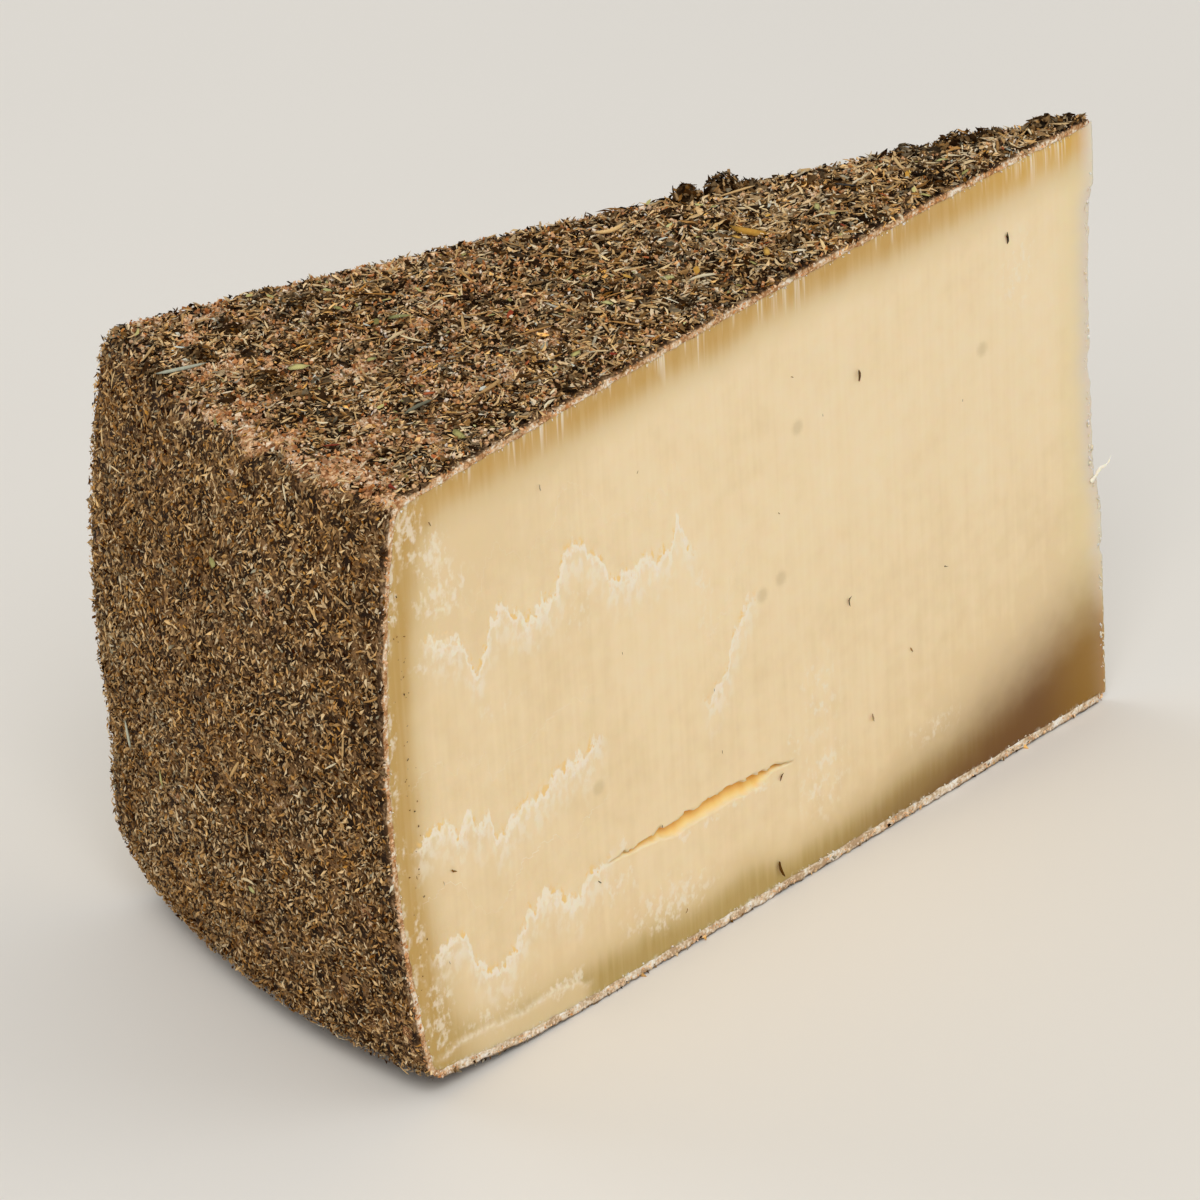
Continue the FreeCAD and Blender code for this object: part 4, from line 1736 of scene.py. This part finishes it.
ACCENTS = tuple(Accent(piece, area, *row) for piece, area, rows in ACCENT_RUNS for row in rows)

ACCENT_FORMS = {
    "green_bits": (Litter(Form.LEAF, (1, 1), (0.55, 0.85), (0.10, 0.18), tilt=9, bend=0.12,
                          crumple=0.16, spread=0), "green_leaf_finish"),
    "petal_bits": (Litter(Form.LEAF, (1, 1), (0.34, 0.5), (0.12, 0.2), tilt=9, bend=0.14,
                          crumple=0.16, spread=0), "petal_finish"),
    "grey_stalks": (Litter(Form.SLIVER, (1, 1), (0.08, 0.12), (0.7, 1.0), tilt=2, bend=0.06,
                           crumple=0.02, spread=0), "grey_stalk_finish"),
    "stalks": (Litter(Form.SLIVER, (1, 1), (0.10, 0.16), (0.6, 0.9), tilt=3, bend=0.08,
                      crumple=0.03, spread=0), "straw_finish"),
}


@dataclass(frozen=True)
class Heap:
    """A clump of herbs that stands up from the top crust.

    Attributes:
        r: distance from the axis.
        side: place across the wedge, from -1 at the front to 1 at the back.
        size: half lengths along the section, across it and upwards.
        count: how many scraps cover it.
    """

    r: float
    side: float
    size: tuple[float, float, float]
    count: int


HEAPS = (
    Heap(62.0, 0.90, (2.3, 1.8, 2.2), 120),
    Heap(56.4, 0.88, (2.9, 2.0, 2.7), 170),
    Heap(53.0, 0.84, (1.8, 1.6, 1.2), 60),
    Heap(21.5, 0.74, (3.4, 1.6, 1.6), 120),
    Heap(16.5, 0.70, (2.6, 1.4, 1.3), 80),
    Heap(29.0, 0.78, (2.4, 1.8, 1.2), 70),
    Heap(8.5, 0.30, (3.2, 1.3, 1.7), 130),
    Heap(4.6, 0.10, (1.6, 0.9, 1.1), 50),
    Heap(30.5, -0.55, (2.4, 1.6, 0.8), 60),
    Heap(42.0, 0.34, (2.4, 1.8, 0.8), 60),
    Heap(58.0, -0.55, (2.6, 2.2, 0.8), 70),
    Heap(82.0, -0.70, (2.6, 2.0, 0.7), 60),
    Heap(144.4, 0.50, (1.5, 1.9, 0.9), 60),
    Heap(138.0, 0.52, (2.1, 3.4, 1.0), 110),
    Heap(131.8, 0.70, (2.4, 3.4, 0.8), 90),
    Heap(135.0, 0.16, (1.7, 2.8, 0.9), 80),
    Heap(121.0, 0.78, (2.0, 2.6, 0.8), 60),
)


@dataclass
class HerbCrust:
    """The dried herbs on the rind: scraps, slivers, grains, crumbs, stalks and clumps.

    Attributes:
        crust: where the herbs are worn away.
        materials: the herb finishes by name.
        margin: how far the pieces' middles keep inside the cut faces.
        overhang: how far a piece may stand out past a cut face, before the knife took it.
        pressed: how much of what stands out further is pressed back.
        sink: how much lower pieces lie where the rind is bare.
        cloud_size: of the darker and lighter patches of herbs.
        cloud_strength: how much those change a piece's tone.
        accent_lift: height of the accents over the wheel's surface.
        end_gap: how far from the axis the herbs begin.
    """

    crust: Crust
    materials: dict[str, Material]
    margin: float = 0.45
    overhang: float = 0.35
    pressed: float = 0.85
    sink: float = 0.35
    cloud_size: float = 6.0
    cloud_strength: float = 0.26
    accent_lift: float = 1.05
    end_gap: float = 1.2

    @property
    def wedge(self) -> Wedge:
        """The wedge that the herbs lie on."""
        return self.crust.wedge

    def walks(self, area: Area) -> tuple[float, float]:
        """Where that area begins and ends along the section."""
        outline = self.wedge.outline
        ends = {
            Area.TOP: (self.end_gap, outline.shoulder_mark),
            Area.SIDE: (outline.shoulder_mark, outline.heel_mark),
            Area.BASE: (outline.heel_mark, outline.length - self.end_gap),
        }
        return ends[area]

    def spots(self, walk: Array, angle: Array, lift: Array | float) -> Spots:
        """Places on the wheel's surface, raised by a lift, with their directions."""
        lift = lift + self.crust.swelling(walk, angle)
        r, z, out_r, out_z = self.wedge.outline.at(walk, -lift)
        turned = self.wedge.turned
        return Spots(self.wedge.place(r, angle, z), turned(angle, out_r, out_z),
                     turned(angle, out_z, -out_r), self.wedge.across(angle))

    def trim(self, sculpt: Sculpt, random: np.random.Generator, per_piece: int) -> None:
        """Presses what stands out past the cut faces back to them, as the knife left it.

        Args:
            sculpt: the mesh, whose last block is trimmed.
            random: draws how far each piece may stand out.
            per_piece: how many places each piece has.
        """
        points = sculpt.points[-1]
        allowed = np.repeat(random.uniform(0, 1, len(points) // per_piece) ** 2, per_piece)
        for side in CutSide:
            outward = side.value * self.wedge.across(side.value * self.wedge.half_angle)
            past = (points - (self.wedge.axis_x, 0, 0)) @ outward
            excess = np.maximum(past - allowed * self.overhang, 0)
            points -= (excess * self.pressed)[:, None] * outward

    def sprinkle(self, layer: Sprinkle, seed: int) -> None:
        """Makes one layer.

        Args:
            layer: what to sprinkle.
            seed: of its random draws.
        """
        random = np.random.default_rng(seed)
        outline = self.wedge.outline
        walk = outline.even_walks(random, layer.count, *self.walks(layer.area))
        r = outline.at(walk)[0]
        reach = np.maximum(self.wedge.half_angle - self.margin / r, 0.02)
        angle = random.uniform(-1, 1, layer.count) * reach
        bare = self.crust.bareness(walk, angle)
        love = layer.bare_love
        chance = 1 - love + love * bare if love > 0 else 1 + love * bare
        kept = random.uniform(0, 1, layer.count) < chance
        walk, angle, r, bare = walk[kept], angle[kept], r[kept], bare[kept]
        lift = random.uniform(*layer.lift, len(walk)) - self.sink * bare * (love < 0)
        place = columns(walk, angle * r)
        clouds = self.cloud_strength * rough(place / self.cloud_size, Seed.TONE_CLOUDS.value, 2)
        tones = np.clip(random.normal(*layer.tone, len(walk)) + clouds, 0, 1)
        growth = 1 + layer.tip_growth * (1 - r / outline.radius)
        sculpt = Sculpt(layer.piece)
        spots = self.spots(walk, angle, lift)
        layer.litter.scatter(sculpt, spots, random, tones, growth)
        self.trim(sculpt, random, len(Shape.of(layer.litter.form).points))
        sculpt.finish(self.materials[layer.finish], "herbs", smooth=False)

    def accents(self) -> None:
        """Makes the pieces that stand out, one mesh for each kind."""
        outline = self.wedge.outline
        random = Seed.ACCENTS.draws()
        for piece, (litter, finish) in ACCENT_FORMS.items():
            chosen = [accent for accent in ACCENTS if accent.piece == piece]
            sculpt = Sculpt(piece)
            for accent in chosen:
                on_side = accent.area is Area.SIDE
                low, high = self.walks(accent.area)
                part = (outline.walk >= low) & (outline.walk <= high)
                level = outline.places[part, 1 if on_side else 0]
                walk = outline.walk[part][np.argmin(np.abs(level - accent.at))]
                angle = np.array([math.radians(accent.angle)])
                spots = self.spots(np.array([walk]), angle, self.accent_lift)
                turned = replace(litter, lie=accent.turn, length=(accent.length,) * 2)
                turned.scatter(sculpt, spots, random, np.array([accent.tone]))
            sculpt.finish(self.materials[finish], "herbs", smooth=True)

    def loose_bits(self) -> None:
        """Makes the few small green, red and ochre bits, and the long stalks, in no order."""
        random = Seed.LOOSE_BITS.draws()
        small = Litter(Form.LEAF, (0.7, 1.9), (0.35, 0.6), (0.12, 0.22), tilt=12, crumple=0.12)
        layers = (
            Sprinkle("small_green_bits", "green_leaf_finish", Area.TOP, small, 90, (0.85, 1.1)),
            Sprinkle("small_petal_bits", "petal_finish", Area.TOP, small, 34, (0.85, 1.1)),
            Sprinkle("long_stalks", "straw_finish", Area.TOP, LONG_STALKS, 52, (0.95, 1.2),
                     (0.34, 0.3)),
            Sprinkle("side_stalks", "straw_finish", Area.SIDE, SHORT_STALKS, 34, (0.6, 0.9),
                     (0.40, 0.3)),
        )
        for number, layer in enumerate(layers):
            self.sprinkle(layer, int(random.integers(1, 9999)) + number)

    def heaps(self) -> None:
        """Makes the clumps: scraps all over a dark core."""
        random = Seed.HEAPS.draws()
        sculpt = Sculpt("herb_clumps")
        core_share = 0.78
        core = Shape.of(Form.CRUMB)
        scraps = Litter(Form.LEAF, (0.7, 1.9), (0.30, 0.6), (0.2, 0.45), tilt=18, bend=0.2,
                        crumple=0.18)
        for heap in HEAPS:
            walk = np.array([heap.r])
            angle = np.array([heap.side * self.wedge.half_angle])
            base = self.spots(walk, angle, 0.5)
            axes = np.stack([base.along[0], base.across[0], base.out[0]])
            facing = random.normal(0, 1, (heap.count, 3))
            facing[:, 2] = np.abs(facing[:, 2])
            facing /= np.linalg.norm(facing, axis=1, keepdims=True)
            size = np.array(heap.size)
            reach = random.uniform(0.75, 1.05, (heap.count, 1))
            points = base.points + (facing * size * reach) @ axes
            out = (facing / size) @ axes
            out /= np.linalg.norm(out, axis=1, keepdims=True)
            along = np.cross(base.across, out)
            along /= np.linalg.norm(along, axis=1, keepdims=True)
            spots = Spots(points, out, along, np.cross(out, along))
            tones = np.clip(random.normal(0.34, 0.24, heap.count), 0, 1)
            scraps.scatter(sculpt, spots, random, tones)
            places = base.points + (core.points * 2 * size * core_share) @ axes
            sculpt.add(places, [core.faces], tone=0.1, warmth=0.0)
        sculpt.finish(self.materials["dark_leaf_finish"], "herbs", smooth=False)

    def build(self) -> None:
        """Makes every herb piece."""
        for seed, layer in enumerate(SPRINKLES, Seed.LAYERS.value):
            self.sprinkle(layer, seed)
        self.accents()
        self.loose_bits()
        self.heaps()


# === What lies on the cut faces ===

# Herb specks on the front cut face: distance from the axis, height, length, and lean from
# upright in degrees.
FRONT_SPECKS = (
    (20, 81, 1.9, 15), (67, 77, 0.7, 60), (53, 72, 1.7, -8), (61, 69, 0.5, 0), (71, 58, 0.6, 40),
    (36, 36, 0.9, 70), (57, 39, 1.4, -12), (44, 26, 0.9, 30), (53, 19, 1.6, 20),
    (73, 18, 1.4, -30), (85, 27, 0.6, 0), (98, 21, 0.5, 0), (139, 32, 1.2, 60),
    (141, 31, 0.7, 10), (111, 18, 0.8, 45),
    (74, 4, 2.6, 12), (94, 6, 1.0, -40), (146, 34, 0.6, 0), (141, 19, 0.6, 20), (118, 80, 1.0, 5),
    (99, 75, 0.7, -20), (139, 83, 0.8, 30), (86, 37, 0.5, 0), (104, 50, 0.4, 0), (31, 60, 0.4, 0),
)
BACK_SPECKS = (
    (128, 66, 1.1, 20), (96, 40, 1.4, -15), (70, 61, 0.8, 50), (44, 22, 1.2, 10), (33, 70, 0.7, 0),
    (110, 14, 0.9, -60), (137, 48, 0.8, 30), (84, 79, 0.6, 0), (58, 9, 1.8, 14), (120, 34, 0.6, 5),
)


@dataclass
class CutDebris:
    """Small things on the cut faces: rind crumbs along their borders, herb specks, chalky
    shreds, and the curl of paste at the tip.

    Attributes:
        body: the paste that it lies on.
        materials: the herb finishes by name.
        shred: the finish of loose paste.
        border: how many rind crumbs line each face; herb grains are a third as many, and
            paste crumbs a fifth.
        tiny_specks: how many tiny specks lie beside the rim of each face.
        flakes: how many torn flakes lie along the tip's edge.
    """

    body: PasteBody
    materials: dict[str, Material]
    shred: Material
    border: int = 2050
    tiny_specks: int = 42
    flakes: int = 110

    @property
    def wedge(self) -> Wedge:
        """The wedge whose cut faces they are."""
        return self.body.wedge

    def face_spots(self, side: CutSide, r: Array, z: Array, lift: Array | float) -> Spots:
        """Places on a cut face, with upright as their along direction."""
        angle = side.value * self.wedge.half_angle
        outward = side.value * self.wedge.across(angle)
        points = self.wedge.place(r, angle, z) + np.broadcast_to(lift, r.shape)[:, None] * outward
        count = len(points)
        out = np.tile(outward, (count, 1))
        along = np.tile([0.0, 0.0, 1.0], (count, 1))
        return Spots(points, out, along, np.cross(out, along))

    def border_spots(self, random: np.random.Generator, side: CutSide, count: int,
                     depth: tuple[float, float], lift: tuple[float, float]) -> Spots:
        """Random places along the rind where it is cut."""
        outline = self.wedge.outline
        walk = random.uniform(1.0, outline.length - 1.0, count)
        inset = random.uniform(*depth, count) + 0.55 * outline.under(walk)
        r, z = outline.at(walk, inset)[:2]
        return self.face_spots(side, r, np.maximum(z, 0.3), random.uniform(*lift, count))

    def border_crumbs(self) -> None:
        """Makes the rind's crumbs, pinkish to white, and dark herb grains among them."""
        random = Seed.BORDER.draws()
        crumbs = Sculpt("cut_rind_crumbs")
        grains = Sculpt("cut_herb_grains")
        pale = Sculpt("cut_paste_crumbs")
        lumps = Litter(Form.GRAIN, (0.22, 0.66), (0.7, 1.0), (0.6, 0.9), tilt=60, crumple=0.24)
        bits = Litter(Form.GRAIN, (0.5, 1.5), (0.25, 0.5), tilt=25)
        for side in CutSide:
            spots = self.border_spots(random, side, self.border, (-0.15, 0.70), (-0.05, 0.2))
            # Crumbs low by the floor are made lighter: painted light that offsets the shade there.
            tones = random.normal(0.50, 0.28, self.border) + 0.34 * (spots.points[:, 2] < 2.5)
            tones = np.clip(tones, 0, 1)
            lumps.scatter(crumbs, spots, random, tones)
            count = self.border // 3
            spots = self.border_spots(random, side, count, (-0.6, 0.20), (-0.3, 0.25))
            bits.scatter(grains, spots, random, np.clip(random.normal(0.56, 0.32, count), 0, 1))
            count = self.border // 5
            spots = self.border_spots(random, side, count, (0.4, 1.3), (0.0, 0.15))
            lumps.scatter(pale, spots, random, random.uniform(0, 1, count), 0.8)
        crumbs.finish(self.materials["rind_crumb_finish"], "rind", smooth=False)
        grains.finish(self.materials["dark_leaf_finish"], "herbs", smooth=False)
        pale.finish(self.shred, "paste", smooth=True)

    def specks(self) -> None:
        """Makes the herb specks that the knife carried onto the paste."""
        random = Seed.SPECKS.draws()
        sculpt = Sculpt("cut_face_specks")
        for side, chosen in ((CutSide.FRONT, FRONT_SPECKS), (CutSide.BACK, BACK_SPECKS)):
            for r, z, length, lean in chosen:
                litter = Litter(Form.SLIVER, (length, length), (0.16, 0.28), (0.4, 0.7), tilt=4,
                                bend=0.16, crumple=0.2, lie=lean, spread=0)
                spots = self.face_spots(side, np.array([float(r)]), np.array([float(z)]), 0.25)
                litter.scatter(sculpt, spots, random, random.uniform(0.15, 0.9, 1))
            count = self.tiny_specks
            z = random.uniform(14, 78, count)
            r = self.wedge.outline.radius - random.normal(4.6, 0.8, count)
            tiny = Litter(Form.GRAIN, (0.2, 0.5), (0.4, 0.8), tilt=10)
            spots = self.face_spots(side, r, z, 0.12)
            tiny.scatter(sculpt, spots, random, random.uniform(0.2, 0.7, count))
        sculpt.finish(self.materials["dark_leaf_finish"], "herbs", smooth=True)

    def shreds(self) -> None:
        """Makes the torn flakes on the tip's edge and the curl that stands out from it."""
        random = Seed.SHREDS.draws()
        sculpt = Sculpt("paste_shreds")
        flakes = Litter(Form.LEAF, (0.4, 1.2), (0.3, 0.6), (0.3, 0.5), tilt=30, crumple=0.2,
                        spread=35)
        count = self.flakes
        z = random.uniform(3, 89, count)
        r = self.body.tip_edge(z) + random.uniform(0.15, 0.9, count)
        spots = self.face_spots(CutSide.FRONT, r, z, 0.05)
        flakes.scatter(sculpt, spots, random, random.uniform(0, 1, count))
        edge = float(self.body.tip_edge(np.array([37.0]))[0])
        self.thread(sculpt, ((edge + 1.0, 0.1, 36.2), (edge, 0.2, 36.8), (edge - 1.1, 0.4, 38.0),
                             (edge - 2.0, 0.3, 37.7), (edge - 2.8, 0.5, 38.1),
                             (edge - 3.5, 0.5, 39.0)), 0.60)
        sculpt.finish(self.shred, "paste", smooth=True)

    def thread(self, sculpt: Sculpt, route: Sequence[tuple[float, float, float]],
               size: float) -> None:
        """Adds a tapering thread of paste.

        Args:
            sculpt: the mesh to add to.
            route: its places, as distance from the axis, how far in front of the front cut face,
                and height.
            size: its thickness at the thick end.
        """
        stops = np.array(route)
        share = np.linspace(0, 1, 6 * len(route))
        knots = np.linspace(0, 1, len(route))
        r, lift, z = (np.interp(share, knots, stops[:, i]) for i in range(3))
        for _ in range(3):
            r, lift, z = (np.convolve(np.pad(line, 1, "edge"), (0.25, 0.5, 0.25), "valid")
                          for line in (r, lift, z))
        spine = self.face_spots(CutSide.FRONT, r, z, lift)
        heading = np.gradient(spine.points, axis=0)
        heading /= np.linalg.norm(heading, axis=1, keepdims=True)
        side = np.cross(heading, spine.out)
        side /= np.linalg.norm(side, axis=1, keepdims=True)
        up = np.cross(side, heading)
        sides = 6
        turn = np.arange(sides) * 2 * math.pi / sides
        thick = size / 2 * (1 - 0.75 * share ** 1.5) * (1 + 0.2 * np.sin(share * 23))
        rings = (spine.points[:, None, :]
                 + thick[:, None, None] * (np.cos(turn)[None, :, None] * side[:, None, :] * 1.3
                                           + np.sin(turn)[None, :, None] * up[:, None, :] * 0.7))
        first = np.arange(sides)
        faces = [ring_faces(first + sides * n, first + sides * (n + 1))
                 for n in range(len(share) - 1)]
        caps = [first[None, ::-1], (first + sides * (len(share) - 1))[None, :]]
        sculpt.add(rings.reshape(-1, 3), [np.concatenate(faces), *caps], tone=0.7, warmth=0.0)

    def build(self) -> None:
        """Makes everything on the cut faces."""
        self.border_crumbs()
        self.specks()
        self.shreds()


@dataclass(frozen=True)
class ShredFinish:
    """The finish of loose bits of paste: paler and chalkier than the cut face."""

    name: str = "shred_finish"
    tones: Stops = ((0.0, (234, 212, 176)), (0.6, (245, 234, 212)), (1.0, (251, 245, 234)))

    def build(self, effects: SharedEffects) -> Material:
        """Makes the material."""
        material, graph, shader = new_material(self.name, roughness=0.6)
        mottle = graph.group(effects.mottle, patches=500.0, flecks=2200.0, contrast=0.8)
        shifted = graph.minus(mottle.outputs["Tone"], 0.5)
        tone = graph.plus(graph.attribute("tone"), shifted, clamp=True)
        graph.feed(shader.inputs["Base Color"], graph.ramp(tone, self.tones))
        make_waxy(shader, (1.0, 0.7, 0.4), depth=0.6)
        return material


# === The studio ===

@dataclass(frozen=True)
class Lamp:
    """A soft square lamp that looks at the wedge.

    Attributes:
        name: the lamp's name.
        place: where it stands, in metres.
        size: its side, in metres.
        power: in watts.
        colour: its light's colour.
    """

    name: str
    place: tuple[float, float, float]
    size: float
    power: float
    colour: tuple[float, float, float] = (1.0, 1.0, 1.0)

    def build(self) -> None:
        """Makes the lamp."""
        light = bpy.data.lights.new(self.name, "AREA")
        light.shape = "SQUARE"
        light.size = self.size
        light.energy = self.power
        light.color = self.colour
        lamp = bpy.data.objects.new(self.name, light)
        lamp.location = self.place
        lamp.rotation_euler = (-Vector(self.place)).to_track_quat("-Z", "Y").to_euler()
        bpy.context.scene.collection.objects.link(lamp)


@dataclass(frozen=True)
class Studio:
    """A plain pale floor, soft lamps and an even pale surrounding."""

    floor_size: float = 6.0
    floor_tone: Colour = (232, 228, 221)
    surround: float = 0.52
    lamps: tuple[Lamp, ...] = (
        Lamp("key_lamp", (-0.9, -1.5, 1.9), 1.3, 27.0, (1.0, 0.985, 0.96)),
        Lamp("fill_lamp", (1.7, -1.2, 1.0), 1.6, 9.0, (0.97, 0.985, 1.0)),
        Lamp("back_lamp", (-0.8, 1.8, 1.3), 1.4, 8.0),
    )

    def build(self) -> None:
        """Makes the floor, the lamps and the world."""
        self.build_floor()
        for lamp in self.lamps:
            lamp.build()
        self.build_world()
        bpy.context.scene.view_settings.view_transform = "Standard"

    def build_floor(self) -> None:
        """A flat pale floor under the wedge."""
        half = self.floor_size / 2
        mesh = bpy.data.meshes.new("floor")
        corners = [(-half, -half, 0), (half, -half, 0), (half, half, 0), (-half, half, 0)]
        mesh.from_pydata(corners, [], [(0, 1, 2, 3)])
        floor = bpy.data.objects.new("floor", mesh)
        bpy.context.scene.collection.objects.link(floor)
        material, graph, shader = new_material("floor_finish", roughness=0.7, specular=0.2)
        cloud = graph.noise(3.0, detail=3.0)
        red, green, blue = self.floor_tone
        tones = ((0.3, (red - 3, green - 3, blue - 3)), (0.7, (red + 2, green + 2, blue + 2)))
        graph.feed(shader.inputs["Base Color"], graph.ramp(cloud, tones))
        mesh.materials.append(material)

    def build_world(self) -> None:
        """An even surrounding: dim as a light, and pale where it is seen or mirrored."""
        world = bpy.data.worlds.new("surrounding")
        world.use_nodes = True
        bpy.context.scene.world = world
        graph = Graph(world.node_tree)
        background = world.node_tree.nodes["Background"]
        path = graph.node("ShaderNodeLightPath")
        seen = graph.larger(path.outputs["Is Camera Ray"],
                            graph.larger(path.outputs["Is Glossy Ray"],
                                         path.outputs["Is Transmission Ray"]))
        strength = graph.plus(graph.times(seen, 0.9 - self.surround), self.surround)
        background.inputs["Color"].default_value = (1.0, 0.995, 0.985, 1.0)
        graph.feed(background.inputs["Strength"], strength)


@dataclass(frozen=True)
class Viewpoint:
    """The camera.

    Attributes:
        azimuth: where it looks from, about +Z, 0 being straight along +Y.
        elevation: how far it looks down.
        lean: how far it is rolled.
        distance: from what it aims at, in metres.
        aim: what it aims at, in metres from the middle of the wedge's box.
        lens: focal length in millimetres, on a 36 mm wide sensor.
    """

    azimuth: float = -32.23
    elevation: float = 26.08
    lean: float = -3.38
    distance: float = 0.9713
    aim: tuple[float, float, float] = (-0.0096, 0.0036, -0.0046)
    lens: float = 209.0

    def build(self, middle: Vector) -> None:
        """Makes the camera.

        Args:
            middle: the middle of the wedge's box.
        """
        azimuth, elevation = math.radians(self.azimuth), math.radians(self.elevation)
        back = Vector((math.sin(azimuth) * math.cos(elevation),
                       -math.cos(azimuth) * math.cos(elevation), math.sin(elevation)))
        level = Vector((0, 0, 1)).cross(back).normalized()
        upward = back.cross(level)
        lean = math.radians(self.lean)
        right = math.cos(lean) * level + math.sin(lean) * upward
        upward = back.cross(right)
        data = bpy.data.cameras.new("camera")
        data.lens = self.lens
        data.sensor_width = 36.0
        data.clip_start = 0.05
        camera = bpy.data.objects.new("camera", data)
        turn = Matrix((right, upward, back)).transposed().to_4x4()
        camera.matrix_world = Matrix.Translation(middle + Vector(self.aim)
                                                 + self.distance * back) @ turn
        bpy.context.scene.collection.objects.link(camera)
        bpy.context.scene.camera = camera


def main() -> None:
    """Builds the wedge around its frame, piece by piece."""
    logging.basicConfig(level=logging.INFO, format="%(name)s: %(message)s")
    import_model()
    wedge = Wedge.from_frame()
    effects = SharedEffects()
    crust = Crust(wedge)
    herbs = {name: finish.build(effects) for name, finish in HERB_FINISHES.items()}

    body = PasteBody(wedge)
    body.build(PasteFinish().build(effects))
    RindShell(crust).build(RindFinish().build(effects))
    HerbCrust(crust, herbs).build()
    CutDebris(body, herbs, ShredFinish().build(effects)).build()

    Studio().build()
    low, high = (Vector(corner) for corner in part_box(NODE))
    Viewpoint().build((low + high) / 2)


if __name__ == "__main__":
    main()
